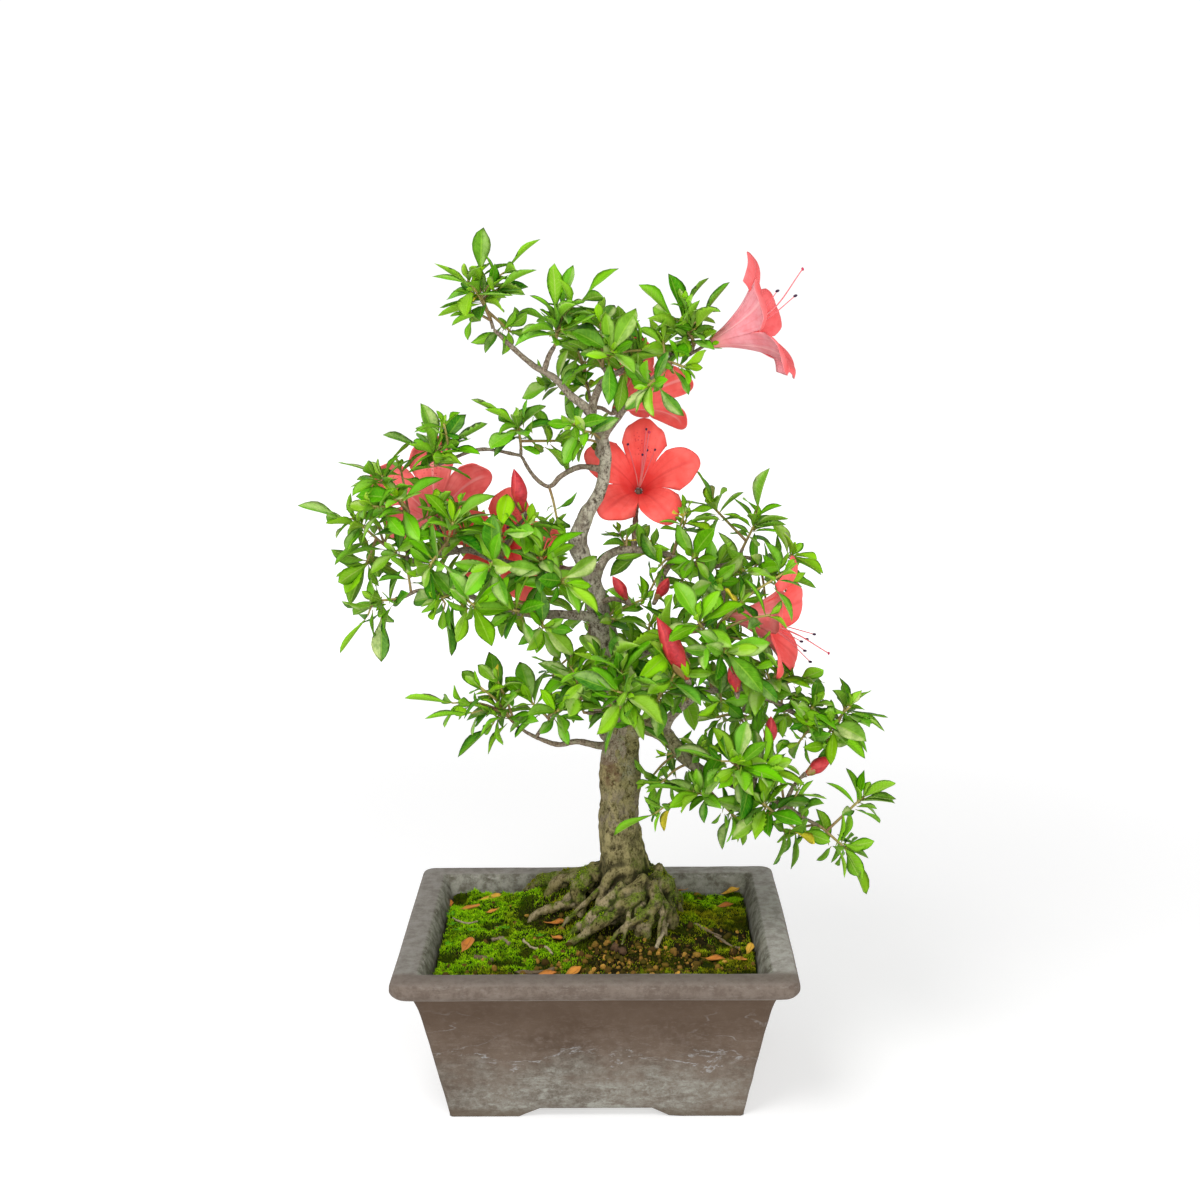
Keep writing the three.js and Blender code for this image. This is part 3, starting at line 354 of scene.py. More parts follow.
class Look:
    """One material, wired up from its principled shader backwards."""

    def __init__(self, name, **constants):
        self.material = bpy.data.materials.new(name)
        self.material.use_nodes = True
        self.tree = self.material.node_tree
        self.shader = self.tree.nodes["Principled BSDF"]
        for socket, value in constants.items():
            self.shader.inputs[socket.replace("_", " ")].default_value = value
        place = self.node("TexCoord", {}, {}, "Object")
        self.place = self.move(place, (1 / MM,) * 3, -POT_MIDDLE)
        self.x, self.y, self.z = (self.node("SeparateXYZ", {}, {0: self.place}, axis) for axis in "XYZ")

    def node(self, kind, settings, inputs, output=0):
        node = self.tree.nodes.new("ShaderNode" + kind)
        for name, value in settings.items():
            setattr(node, name, value)
        for name, value in inputs.items():
            self.plug(node.inputs[name], value)
        return Wire(self, node.outputs[output])

    def plug(self, socket, value):
        if isinstance(value, Wire):
            self.tree.links.new(value.socket, socket)
        else:
            socket.default_value = value

    def math(self, operation, first, second=0.0):
        return self.node("Math", {"operation": operation}, {0: first, 1: second})

    def move(self, vector, scale, shift=(0, 0, 0)):
        inputs = {0: vector, 1: scale, 2: tuple(shift)}
        return self.node("VectorMath", {"operation": "MULTIPLY_ADD"}, inputs)

    def value(self, name):
        """A value that the piece's points carry."""
        return self.node("Attribute", {"attribute_name": name}, {}, "Fac")

    def stretched(self, stretch):
        return self.move(self.place, stretch) if stretch else self.place

    def noise(self, size, detail=2.0, roughness=0.5, stretch=None, distortion=0.0):
        """Soft noise from 0 to 1 whose lumps are about size millimetres across."""
        inputs = {"Vector": self.stretched(stretch), "Scale": 1 / size, "Detail": detail}
        return self.node("TexNoise", {}, {**inputs, "Roughness": roughness, "Distortion": distortion})

    def cells(self, size, stretch=None):
        """How far the nearest of many spots is, that lie about size millimetres apart."""
        inputs = {"Vector": self.stretched(stretch), "Scale": 1 / size}
        return self.node("TexVoronoi", {}, inputs, "Distance")

    def blend(self, factor, first, second):
        """A colour between two, from their numbers or wires."""
        first, second = (color if isinstance(color, Wire) else (*color, 1) for color in (first, second))
        # A Mix node's colours share their names with its other inputs, so they go by number.
        return self.node("Mix", {"data_type": "RGBA"}, {0: factor, 6: first, 7: second}, 2)

    def finish(self, color, roughness, bump=None, strength=0.5, depth=0.5):
        """Feeds the shader; depth is the bump's height in millimetres."""
        self.plug(self.shader.inputs["Base Color"], color)
        self.plug(self.shader.inputs["Roughness"], roughness)
        if bump is not None:
            inputs = {"Strength": strength, "Distance": depth * MM, "Height": bump}
            self.plug(self.shader.inputs["Normal"], self.node("Bump", {}, inputs))
        return self.material


# ---------- materials ----------

def clay_body(look, clouds, mottle, scuffs):
    """Brown clay, clouded, mottled and scuffed."""
    broad = look.noise(52, 3, 0.55)
    body = look.blend((broad + clouds - 0.5).between(0.25, 0.8), (0.070, 0.046, 0.031), (0.132, 0.096, 0.071))
    body = body.coat(mottle.between(0.45, 0.68) * 0.4, (0.176, 0.138, 0.112))
    return body.coat(scuffs * 0.35, (0.210, 0.170, 0.142))


def clay_wall(look, mottle, scuffs):
    """The pot's wall: a pale mineral bloom low down, a crust where it ends, and thin pale wisps."""
    clouds = look.noise(19, 5, 0.66, stretch=(0.6, 0.6, 1.3), distortion=0.4)
    streaks = look.noise(9, 6, 0.74, stretch=(0.45, 0.45, 1.3), distortion=0.8)
    tide = look.z + (clouds - 0.5) * 52 + (streaks - 0.5) * 16
    crackle = look.noise(3.0, 5, 0.78, distortion=0.6).between(0.40, 0.60)
    bloom = (1 - tide.between(16, 40)) * (0.3 + 0.7 * streaks.between(0.38, 0.66))
    bloom = bloom + 0.25 * (1 - look.z.between(8, 54)) * clouds
    bloom = bloom * (0.30 + 0.30 * mottle.between(0.35, 0.65) + 0.25 * scuffs + 0.35 * crackle)
    bloom = bloom * (1.2 - 0.75 * abs(look.x).between(40, 84))
    color = look.blend(bloom, clay_body(look, clouds, mottle, scuffs), (0.284, 0.281, 0.244))
    # Darker towards the top of the wall: painted shade under the rim's overhang.
    color = color.coat(look.z.between(36, 64) * 0.72, (0.086, 0.056, 0.037))
    crust = (1 - abs(tide - 36) * 0.55).between(0, 1) * streaks.between(0.46, 0.58)
    crust = crust * (1 - look.z.between(44, 50))
    color = color.coat(crust * 0.55, (0.385, 0.395, 0.395))
    wisps = look.noise(38, 3, 0.55, stretch=(0.8, 0.8, 2.0), distortion=0.5)
    line = 1 - (wisps.off(0.5) * 4200).between(0, 1)
    sides = abs(look.x).between(38, 66) * look.z.between(28, 38) * (1 - look.z.between(56, 66))
    return color.coat(line * sides * streaks.between(0.45, 0.6) * 0.35, (0.33, 0.32, 0.31))


def clay_rim_top(look):
    """The flat top of the rim, paler to the right and dark along its front."""
    top = look.blend(look.x.between(-90, 90), (0.285, 0.272, 0.248), (0.440, 0.425, 0.390))
    return look.blend(look.y.between(-70, -63), (0.205, 0.170, 0.146), top)


def clay_look():
    """Unglazed brown clay: pale mineral bloom low on the walls, and a greyer rim worn at its edges."""
    look = Look("fired_clay", Specular_IOR_Level=0.12)
    mottle = look.noise(5.5, 5, 0.68)
    grain = look.noise(0.9, 3, 0.7)
    scuffs = look.noise(2.4, 4, 0.75, stretch=(0.5, 0.5, 1.4)).between(0.5, 0.68)
    rim = look.blend(mottle.between(0.36, 0.64), (0.116, 0.088, 0.070), (0.165, 0.132, 0.108))
    rim = rim.coat(scuffs * 0.4, (0.215, 0.182, 0.156))
    color = look.blend(look.z.between(70.5, 73), clay_wall(look, mottle, scuffs), rim)
    level = look.z.between(81.6, 82.7) * (0.45 + 0.5 * mottle.between(0.3, 0.7))
    color = color.coat(level, clay_rim_top(look))
    wall = look.math("MINIMUM", POT_HALF[0] - abs(look.x), POT_HALF[1] - abs(look.y))
    inside = look.blend(mottle.between(0.35, 0.65), (0.120, 0.110, 0.084), (0.290, 0.285, 0.240))
    color = color.coat(wall.between(11.8, 13.4) * look.z.between(70, 72), inside)
    worn = (1 - look.z.off(81.4) * 0.7).between(0, 1)
    worn = worn * scuffs * (0.2 + 0.8 * look.y.between(-74, -60))
    worn = worn + 0.3 * (1 - look.z.off(73.6) * 1.5).between(0, 1)
    color = color.coat(worn * 0.6, (0.40, 0.385, 0.35))
    color = color.coat((1 - grain.between(0.25, 0.5)) * 0.3, (0.075, 0.054, 0.042))
    foot = 1 - look.z.between(1.5, 6.5)
    color = color.coat(foot * (0.5 + 0.4 * mottle), (0.098, 0.070, 0.046))
    height = mottle * 0.5 + grain * 0.35 + look.cells(2.1).between(0, 0.3) * 0.25
    return look.finish(color, 0.66 + 0.22 * mottle, height, 0.5, 0.5)


class BarkNoise:
    """The noises that the colours of the trunk, the foot and the limbs share."""

    def __init__(self, look):
        self.fibres = look.noise(1.3, 5, 0.75, stretch=(1, 1, 0.7))
        self.ridges = look.noise(5, 4, 0.62, stretch=(1, 1, 0.6), distortion=0.6)
        self.flakes = look.cells(3.2, stretch=(1, 1, 0.6))
        self.patches = look.noise(13, 4, 0.62)
        self.lichen = look.noise(4.5, 5, 0.75)
        self.speck = look.noise(1.0, 3, 0.7)
        self.grain = self.fibres * 0.55 + self.speck * 0.2 + self.ridges * 0.15 + self.flakes * 0.15


def trunk_color(look, noise):
    """Olive tan with dark flakes, painted shade on its right side that makes it darker and greener, and dark
    at its foot.
    """
    trunk = look.blend(noise.grain.between(0.41, 0.58), (0.058, 0.045, 0.018), (0.345, 0.295, 0.140))
    trunk = trunk.coat(noise.lichen.between(0.45, 0.6) * 0.35, (0.110, 0.102, 0.036))
    # Painted shade: the trunk's right side is coloured darker and greener.
    painted_shade_side = (look.x + look.z * 0.04).between(14, 30)
    painted_shade_green = look.blend(noise.fibres.between(0.4, 0.6), (0.045, 0.044, 0.010), (0.190, 0.185, 0.050))
    trunk = trunk.coat(painted_shade_side * 0.45, painted_shade_green)
    foot = look.blend(noise.grain.between(0.40, 0.60), (0.020, 0.016, 0.006), (0.200, 0.168, 0.062))
    return trunk.coat(0.9 - 0.9 * look.z.between(92, 128), foot)


def limb_color(look, noise, trunk, high):
    """Grey-brown limbs over the trunk's colour, red-brown twigs, and lichen on both."""
    thick = look.value("thick")
    upper = look.blend(noise.grain.between(0.41, 0.60), (0.060, 0.042, 0.030), (0.500, 0.455, 0.360))
    upper = upper.coat(noise.patches.between(0.46, 0.6) * 0.6, (0.120, 0.084, 0.058))
    slim = (1 - thick.between(2.2, 6)) * high
    color = trunk.coat((look.z.between(175, 262) + slim * 0.6).between(0.1, 1), upper)
    twig = look.blend(noise.speck.between(0.3, 0.7), (0.085, 0.048, 0.030), (0.33, 0.255, 0.185))
    color = color.coat((1 - thick.between(1.1, 3.6)) * high * 0.85, twig)
    color = color.coat(noise.lichen.between(0.54, 0.66) * high * 0.5, (0.310, 0.325, 0.195))
    pale = noise.patches.between(0.52, 0.68) * noise.speck.between(0.35, 0.6) * high
    return color.coat(pale * 0.4, (0.43, 0.41, 0.32))


def bark_look():
    """Olive grey-brown bark, flaked and mottled, with moss at the foot, grey and lichened above; painted
    shade in its creases, partly painted highlights on its crests.
    """
    look = Look("azalea_bark", Specular_IOR_Level=0.06)
    noise = BarkNoise(look)
    color = limb_color(look, noise, trunk_color(look, noise), look.z.between(130, 175))
    scar = 1 - (look.z.off(163) * 0.012 + look.x.off(8) * 0.02).between(0.2, 1.1)
    color = color.coat(scar * noise.lichen.between(0.35, 0.6) * 0.7, (0.150, 0.075, 0.045))
    dusk = 1 - (look.z.off(143) * 0.005).between(0.1, 1)
    color = color.coat(dusk * noise.ridges.between(0.4, 0.6) * 0.45, (0.235, 0.185, 0.165))
    moss = look.value("moss") + noise.speck * 0.5 + noise.lichen * 0.6 - 0.62
    green = look.blend(noise.speck.between(0.35, 0.65), (0.036, 0.056, 0.005), (0.150, 0.240, 0.012))
    color = color.coat(moss.between(0.12, 0.5) * (0.75 - 0.6 * look.value("worn_crest_highlight")), green)
    color = color.coat((1 - noise.grain.between(0.32, 0.44)) * 0.5, (0.030, 0.023, 0.011))
    # Painted shade: near black in the bark's creases and under the roots.
    color = color.coat(look.value("painted_crease_shade") * 0.85, (0.012, 0.011, 0.005))
    # Pale crests: partly worn bark, partly a painted highlight where the roots face the light.
    color = color.coat(look.value("worn_crest_highlight") * noise.fibres.between(0.3, 0.6), (0.360, 0.290, 0.175))
    height = noise.fibres * 0.8 + noise.ridges + noise.flakes * 0.5 + noise.speck * 0.25
    return look.finish(color, 0.74 + 0.2 * noise.fibres, height, 0.9, 0.9)


def leaf_look():
    """An azalea's leaf: glossy green with a painted pale reflection on one half of its upper face, a paler
    rib and faint veins, greyer and duller below.
    """
    look = Look("azalea_leaf", Specular_IOR_Level=0.04)
    along = look.value("along")
    upper = look.value("upper")
    side = abs(look.value("across"))
    clouding = look.noise(4, 3, 0.6)
    deep = look.blend(look.value("tone"), (0.006, 0.115, 0.002), (0.155, 0.520, 0.002))
    deep = deep.coat((clouding - 0.5) * 1.0 + 0.12, (0.135, 0.490, 0.002))
    color = deep.coat(look.value("young"), (0.400, 0.700, 0.008))
    # Painted reflection: a pale grey-green highlight laid on one half of some leaves' upper faces.
    half = look.value("across").between(-0.05, 0.3)
    painted_sheen_mask = look.value("sheen") * (0.15 + 0.7 * half) * (0.5 + 0.5 * clouding.between(0.35, 0.6)) * upper
    color = color.coat(painted_sheen_mask, (0.540, 0.620, 0.250))
    slant = look.math("SINE", (along - side * 0.17) * 62)
    veins = slant.between(0.72, 1.0) * (1 - side.between(0.75, 0.98))
    color = color.coat(veins * 0.16, (0.270, 0.520, 0.020))
    rib = 1 - side.between(0.035, 0.12)
    color = color.coat(rib * (0.55 - 0.35 * along), (0.36, 0.56, 0.07))
    under = color.coat(0.45, (0.250, 0.430, 0.040))
    under = under.coat((rib + veins * 0.5) * 0.35, (0.42, 0.56, 0.14))
    color = under.coat(upper, color)
    stalk = 1 - along.between(0.02, 0.2)
    color = color.coat(stalk * 0.8, (0.36, 0.245, 0.055))
    color = color.coat(look.value("yellow"), (0.78, 0.62, 0.045))
    color = color.coat(side.between(0.93, 1.0) * 0.18, (0.36, 0.48, 0.07))
    rough = 0.52 - 0.22 * upper + 0.14 * clouding
    height = clouding * 0.5 - veins * 0.5 - rib * 0.8
    return look.finish(color, rough, height, 0.5, 0.30)


def shoot_look():
    """A young green shoot, brown where it joins the twig."""
    look = Look("green_shoot", Specular_IOR_Level=0.35)
    ridges = look.noise(1.2, 3, 0.6)
    color = look.blend(look.value("along"), (0.200, 0.105, 0.050), (0.335, 0.290, 0.060))
    color = color.coat(ridges.between(0.4, 0.7) * 0.5, (0.45, 0.38, 0.16))
    return look.finish(color, 0.62 + 0.1 * ridges, ridges, 0.5, 0.2)


def petal_look():
    """A petal: coral inside, pinker and paler outside, with fine ribs and a pale stripe at its middle."""
    look = Look("coral_petal", Specular_IOR_Level=0.08)
    across = look.value("across")
    along = look.value("along")
    inside = look.value("upper")
    side = abs(across)
    soft = look.noise(8, 4, 0.58)
    fine = look.noise(0.8, 2, 0.6)
    inner = look.blend(soft.between(0.3, 0.7), (0.91, 0.095, 0.077), (0.98, 0.155, 0.130))
    # Darker towards the base, inside the tube: painted shade in the throat.
    inner = inner.coat((1 - along.between(0.26, 0.55)) * 0.4, (0.78, 0.060, 0.055))
    outer = look.blend(soft.between(0.3, 0.7), (0.70, 0.200, 0.230), (0.79, 0.330, 0.370))
    outer = inner.coat(look.value("pale"), outer)
    outer = outer.coat((1 - along.between(0.0, 0.30)) * 0.5, (0.80, 0.290, 0.235))
    pink = look.blend(soft.between(0.3, 0.7), (0.83, 0.120, 0.130), (0.90, 0.180, 0.195))
    inner = inner.coat(look.value("pale") * 0.7, pink)
    color = outer.coat(inside, inner)
    fan = look.math("SINE", across * (21 - 6 * along))
    ribs = fan.between(0.55, 1.0) * along.between(0.18, 0.45) * (1 - along.between(0.82, 1.0))
    color = color.coat(ribs * 0.13, (0.68, 0.060, 0.060))
    middle = (1 - side.between(0.02, 0.12)) * (1 - along.between(0.78, 0.96))
    stripe = look.blend(inside, (0.95, 0.50, 0.50), (0.66, 0.050, 0.055))
    color = color.coat(middle * 0.35, stripe)
    dots = look.cells(1.5)
    blotch = look.value("guide") * (1 - dots.between(0.18, 0.36)) * (1 - side.between(0.35, 0.7))
    blotch = blotch * along.between(0.34, 0.44) * (1 - along.between(0.66, 0.80))
    color = color.coat(blotch * 0.55, (0.50, 0.020, 0.040))
    height = fine * 0.15 + soft * 0.3 - middle * 0.9 + ribs * 0.4
    return look.finish(color, 0.58 + 0.12 * soft, height, 0.4, 0.3)


def thread_look():
    """Stamens and pistil: a pink thread with a dark purple head."""
    look = Look("stamen", Specular_IOR_Level=0.3)
    shade = look.noise(1.5)
    pink = look.blend(look.value("along").between(0.1, 0.7), (0.86, 0.55, 0.50), (0.74, 0.15, 0.17))
    head = look.blend(look.value("head"), (0.040, 0.012, 0.045), (0.50, 0.03, 0.08))
    color = look.blend(look.value("knob"), pink, head)
    return look.finish(color, 0.5 + 0.2 * shade)


def bud_look():
    """Crimson petals rolled tight, with brown scales at their foot."""
    look = Look("crimson_bud", Specular_IOR_Level=0.4)
    along = look.value("along")
    streak = look.noise(1.6, 4, 0.6)
    red = look.blend(streak.between(0.3, 0.7), (0.33, 0.010, 0.018), (0.52, 0.026, 0.034))
    red = red.coat(look.value("fold").between(0.55, 1.0) * 0.45, (0.64, 0.065, 0.062))
    scale = look.blend(streak, (0.20, 0.085, 0.030), (0.42, 0.27, 0.09))
    color = red.coat(look.value("scale"), scale)
    color = color.coat((1 - along.between(0.0, 0.10)) * 0.5, (0.30, 0.10, 0.035))
    return look.finish(color, 0.42 + 0.15 * streak, streak, 0.35, 0.25)


def dry_leaf_look():
    """A dead leaf: orange-brown, curled, with a dark rib and specks."""
    look = Look("dry_leaf", Specular_IOR_Level=0.35)
    side = abs(look.value("across"))
    blotch = look.noise(4, 4, 0.65)
    speck = look.noise(0.9, 2, 0.6)
    color = look.blend(look.value("tone"), (0.42, 0.115, 0.018), (0.78, 0.310, 0.045))
    color = color.coat(blotch.between(0.45, 0.7) * 0.5, (0.25, 0.065, 0.012))
    color = color.coat(look.value("yellow"), (0.80, 0.50, 0.055))
    color = color.coat((1 - side.between(0.03, 0.12)) * 0.5, (0.16, 0.045, 0.012))
    color = color.coat(side.between(0.8, 1.0) * 0.35, (0.66, 0.36, 0.10))
    return look.finish(color, 0.5 + 0.2 * blotch, blotch + speck * 0.4, 0.6, 0.35)


def moss_look():
    """Moss: each shoot painted dark at its root as shade inside the carpet and bright at its tip, painted
    darker as shade in the dips between cushions, and olive where it is old.
    """
    look = Look("moss", Specular_IOR_Level=0.05)
    patch = look.noise(14, 3, 0.55)
    fleck = look.noise(2.2, 2, 0.6)
    fresh = look.blend(fleck.between(0.3, 0.7), (0.140, 0.430, 0.002), (0.540, 0.950, 0.010))
    old = look.blend(fleck.between(0.3, 0.7), (0.120, 0.140, 0.004), (0.500, 0.470, 0.014))
    color = look.blend(look.value("fresh") * 0.9 + (patch - 0.5) * 0.9, old, fresh)
    # Painted shade: dark at the root of each shoot, and darker again in the dips between cushions.
    color = color.coat(1 - look.value("along").between(0.0, 0.8), (0.012, 0.026, 0.001))
    color = color.coat(look.value("dell") * 0.8, (0.016, 0.030, 0.001))
    return look.finish(color, 0.8)


def soil_look():
    """Damp dark soil with fine crumbs, stained green under the moss."""
    look = Look("potting_soil", Specular_IOR_Level=0.05)
    crumb = look.noise(1.6, 5, 0.7)
    lump = look.noise(7, 4, 0.6)
    color = look.blend(crumb.between(0.35, 0.65), (0.006, 0.005, 0.001), (0.036, 0.026, 0.008))
    stain = look.value("moss") * lump.between(0.3, 0.6)
    color = color.coat(stain * 0.75, (0.024, 0.046, 0.003))
    color = color.coat(crumb.between(0.62, 0.75) * 0.5, (0.085, 0.060, 0.016))
    return look.finish(color, 0.85 + 0.1 * crumb, crumb + lump, 1.0, 1.0)


def granule_look():
    """Baked clay granules, tan to orange, some with green algae."""
    look = Look("clay_granule", Specular_IOR_Level=0.06)
    grain = look.noise(0.8, 4, 0.7)
    color = look.blend(look.value("tone"), (0.034, 0.022, 0.005), (0.74, 0.390, 0.075))
    color = color.coat(look.value("algae"), (0.074, 0.066, 0.005))
    color = color.coat((1 - grain.between(0.3, 0.6)) * 0.5, (0.075, 0.045, 0.022))
    return look.finish(color, 0.85, grain, 0.8, 0.4)


def litter_look():
    """Dead twigs and straw, grey to straw-coloured."""
    look = Look("dead_twig", Specular_IOR_Level=0.3)
    fibre = look.noise(1.1, 4, 0.7)
    color = look.blend(look.value("tone"), (0.105, 0.052, 0.022), (0.52, 0.43, 0.27))
    color = color.coat((1 - fibre.between(0.35, 0.6)) * 0.55, (0.055, 0.036, 0.022))
    return look.finish(color, 0.8, fibre, 0.8, 0.4)


def screen_look():
    """Dark green plastic mesh, dulled by scuffs."""
    look = Look("drain_screen", Specular_IOR_Level=0.4)
    scuffs = look.noise(2.5, 4, 0.6)
    color = look.blend(scuffs.between(0.4, 0.7), (0.018, 0.020, 0.018), (0.060, 0.062, 0.056))
    return look.finish(color, 0.5 + 0.2 * scuffs, scuffs, 0.3, 0.2)


def floor_look():
    """White paper that glows a little, so that it stays white as far as it goes."""
    look = Look("pale_floor", Specular_IOR_Level=0.0, Emission_Strength=1.0)
    far = ((look.x * look.x + look.y * look.y) * 1e-6).between(0.08, 1.2)
    look.plug(look.shader.inputs["Emission Color"], look.blend(far, (0.52, 0.52, 0.52), (0.9, 0.9, 0.9)))
    return look.finish((0.62, 0.62, 0.62, 1), 0.9)


# ---------- the pot ----------

POT_HALF = (100, 80)
POT_CORNER = 6
FOOT_HEIGHT = 5
# [height, how far it stands in from the rim's outline]
POT_OUTSIDE = [(5, 24.5), (60, 13.5), (68, 11), (72, 9), (73.2, 3), (77, 0), (80.5, 0), (82.3, 0.9),
               (83, 2.6)]
POT_INSIDE = [(83, 12.6), (81.8, 14.2), (74, 17.7), (12, 30.5)]
HOLE_RADIUS = 11
HOLE_X = 40
HOLE_SIDES = 36
HOLE_HEIGHTS = (FLOOR_TOP - 9, FLOOR_TOP + 2)
# Half of each slot between the feet, along X and along Y, and how far a foot slopes at its ends
SLOT_HALF = (33, 20.5)
FOOT_SLOPE = 4.2
# How far a foot reaches in from the pot's base, and how wide its inner edge is
FOOT_REACH, FOOT_EDGE = 11.5, 1.2
# Where the mesh of the underside, of the feet's sides and of the inner floor has its loops
BASE_INSETS = (50, 36, 24, 16, 12.2, 11.6, 11.2, 10.8, 10.3, 9.6, 8, 6, 4, 2, 0.7)
FOOT_STEPS = (0, 0.5, 1.2, 2.5, 3.8)
FLOOR_INSETS = (4, 10, 18, 28, 38, 46)


def cut_corners(profile, times):
    """A profile with its corners cut again and again, so that they come out round."""
    profile = np.asarray(profile, float)
    for _ in range(times):
        near = profile[:-1] * 0.78 + profile[1:] * 0.22
        far = profile[:-1] * 0.22 + profile[1:] * 0.78
        inner = np.stack([near, far], 1).reshape(-1, 2)
        profile = np.vstack([profile[:1], inner, profile[-1:]])
    return profile


def fill_in(profile, step):
    """A profile with more points where they lie further apart than a step."""
    rows = [profile[0]]
    for start, end in zip(profile, profile[1:]):
        count = max(int(math.ceil(np.linalg.norm(end - start) / step)), 1)
        rows.extend(start + (end - start) * (index + 1) / count for index in range(count))
    return np.array(rows)


def pot_loop(height, inset):
    """A loop of points round the pot at a height, so far in from the rim's outline."""
    corner = max(POT_CORNER - 0.15 * inset, 2)
    loop = round_loop(POT_HALF[0] - inset, POT_HALF[1] - inset, corner)
    return np.column_stack([loop, np.full(len(loop), float(height))])


def footing(loop, inset):
    """1 where a foot stands under this part of the pot's base, and 0 over the slots."""
    ends = np.clip((np.abs(loop[:, :2]) - SLOT_HALF) / FOOT_SLOPE, 0, 1)
    return ends.min(axis=1) * np.clip((FOOT_REACH - inset) / FOOT_EDGE, 0, 1)


def base_rings():
    """The pot's underside from its middle outwards, and then the outer sides of its feet."""
    under = POT_OUTSIDE[0][1]
    rings = []
    for inset in BASE_INSETS:
        loop = pot_loop(FOOT_HEIGHT, under + inset)
        loop[:, 2] = FOOT_HEIGHT * (1 - footing(loop, inset))
        rings.append(loop)
    lower, upper = pot_loop(0, under + 1), pot_loop(FOOT_HEIGHT, under)
    for height in FOOT_STEPS:
        loop = pot_loop(height, under + 1 - height / FOOT_HEIGHT)
        raised = np.maximum(FOOT_HEIGHT * (1 - footing(loop, 0.5)), height) / FOOT_HEIGHT
        rings.append(lower + (upper - lower) * raised[:, None])
    return rings


def hand_shaped(rings):
    """The pot's walls with the slight sway and dents of clay, kept within the pot's size."""
    wall = smooth(rings[..., 2], FOOT_HEIGHT, FLOOR_TOP)[..., None]
    sway = np.stack([cloud(rings, 34, 1), cloud(rings, 34, 2), np.zeros(rings.shape[:2])], -1)
    dent = np.stack([cloud(rings, 7, 3), cloud(rings, 7, 4), 0.6 * cloud(rings, 7, 5)], -1)
    rings = rings + wall * (0.35 * sway + 0.10 * dent)
    rings[..., :2] = np.clip(rings[..., :2], np.negative(POT_HALF), POT_HALF)
    return rings


def make_pot():
    outside = fill_in(cut_corners(POT_OUTSIDE, 2), 2.4)
    inside = fill_in(cut_corners(POT_INSIDE, 2), 3.2)
    rings = base_rings()
    rings.extend(pot_loop(height, inset) for height, inset in [*outside, *inside])
    rings.extend(pot_loop(FLOOR_TOP, POT_INSIDE[-1][1] + inset) for inset in FLOOR_INSETS)
    build = Build()
    build.add(*loft(hand_shaped(np.array(rings))))
    cut_drain_holes(build.piece("clay_pot", "clay", [clay_look()], ["pot"]))


def cut_drain_holes(pot):
    """Two round holes through the pot's floor."""
    angles = ring_angles(HOLE_SIDES)
    for side in (-1, 1):
        across, back = side * HOLE_X + HOLE_RADIUS * np.cos(angles), HOLE_RADIUS * np.sin(angles)
        plug = Build()
        plug.add(*loft([np.column_stack([across, back, np.full(HOLE_SIDES, z)]) for z in HOLE_HEIGHTS]))
        cutter = in_scene("hole_cutter", plug.mesh("hole_cutter"))
        modifier = pot.modifiers.new("drain hole", "BOOLEAN")
        modifier.operation = "DIFFERENCE"
        modifier.solver = "EXACT"
        modifier.object = cutter
        holed = with_modifiers(pot)
        pot.modifiers.clear()
        pot.data = holed
        bpy.data.objects.remove(cutter)


# ---------- the soil and what lies on it ----------

# Mounds in the soil: how high, the middle in x and y, how far they spread along X and along Y
MOUNDS = [(7, 19, 14, 34, 34), (14, -20, 36, 26, 16), (2.2, -50, -8, 26, 30)]
# Where moss is thin, in front of the trunk, round its foot and on the ridge of roots: how thin, and the same
THIN_MOSS = [(0.85, 6, -30, 24, 22), (0.85, 4, 4, 27, 18), (0.9, -26, 19, 19, 20)]


def hump(x, y, middle_x, middle_y, across, back):
    """1 in the middle of an oval patch of the soil, fading to 0 round it."""
    return np.exp(-(((x - middle_x) / across) ** 2) - ((y - middle_y) / back) ** 2)


def soil_height(x, y):
    height = SOIL_EDGE + 0.7 * np.sin(x / 9 + 1.3) * np.cos(y / 7)
    for rise, *oval in MOUNDS:
        height = height + rise * hump(x, y, *oval)
    return height


def flat(x, y):
    """The same spots at no height, for noise over the soil."""
    return np.stack([x, y, np.zeros_like(x)], -1)


def moss_cover(x, y):
    """How thickly moss covers a spot, from 0 to 1."""
    x, y = np.asarray(x, float), np.asarray(y, float)
    spot = flat(x, y)
    patchy = cloud(spot, 15, 8, 2)
    left = fade(x, -12, 14) * smooth(y, -59, -42)
    back = smooth(y, 2, 26) * smooth(x, 24, 44)
    right = 0.95 * smooth(x, 24, 46) * smooth(patchy, -0.45, 0.3)
    speckle = 0.45 * smooth(cloud(spot, 4.5, 15), 0.15, 0.6)
    cover = np.maximum.reduce([left, back, right, speckle]) + 0.22 * smooth(patchy, -0.25, 0.5)
    for thin, *oval in THIN_MOSS:
        cover = cover * (1 - thin * hump(x, y, *oval))
    return np.clip(cover, 0, 1)


def moss_fresh(x, y):
    """How bright the moss is, from 0 for old and olive to 1 for fresh."""
    x, y = np.asarray(x, float), np.asarray(y, float)
    left = fade(x, -22, 6) * smooth(y, -60, -40)
    back = 0.75 * smooth(y, 24, 44) * smooth(x, 24, 40)
    by_roots = 1 - 0.8 * hump(x, y, -12, 10, 30, 26)
    return np.clip((np.maximum(left, back) + 0.35 * cloud(flat(x, y), 12, 9, 2)) * by_roots, 0, 1)


def cushion(x, y):
    """How high a spot is on the moss's small cushions, from about -1 to 1."""
    spot = flat(x, y)
    return 0.75 * (1 - 2 * np.abs(cloud(spot, 9.5, 11))) + 0.35 * cloud(spot, 4, 12)


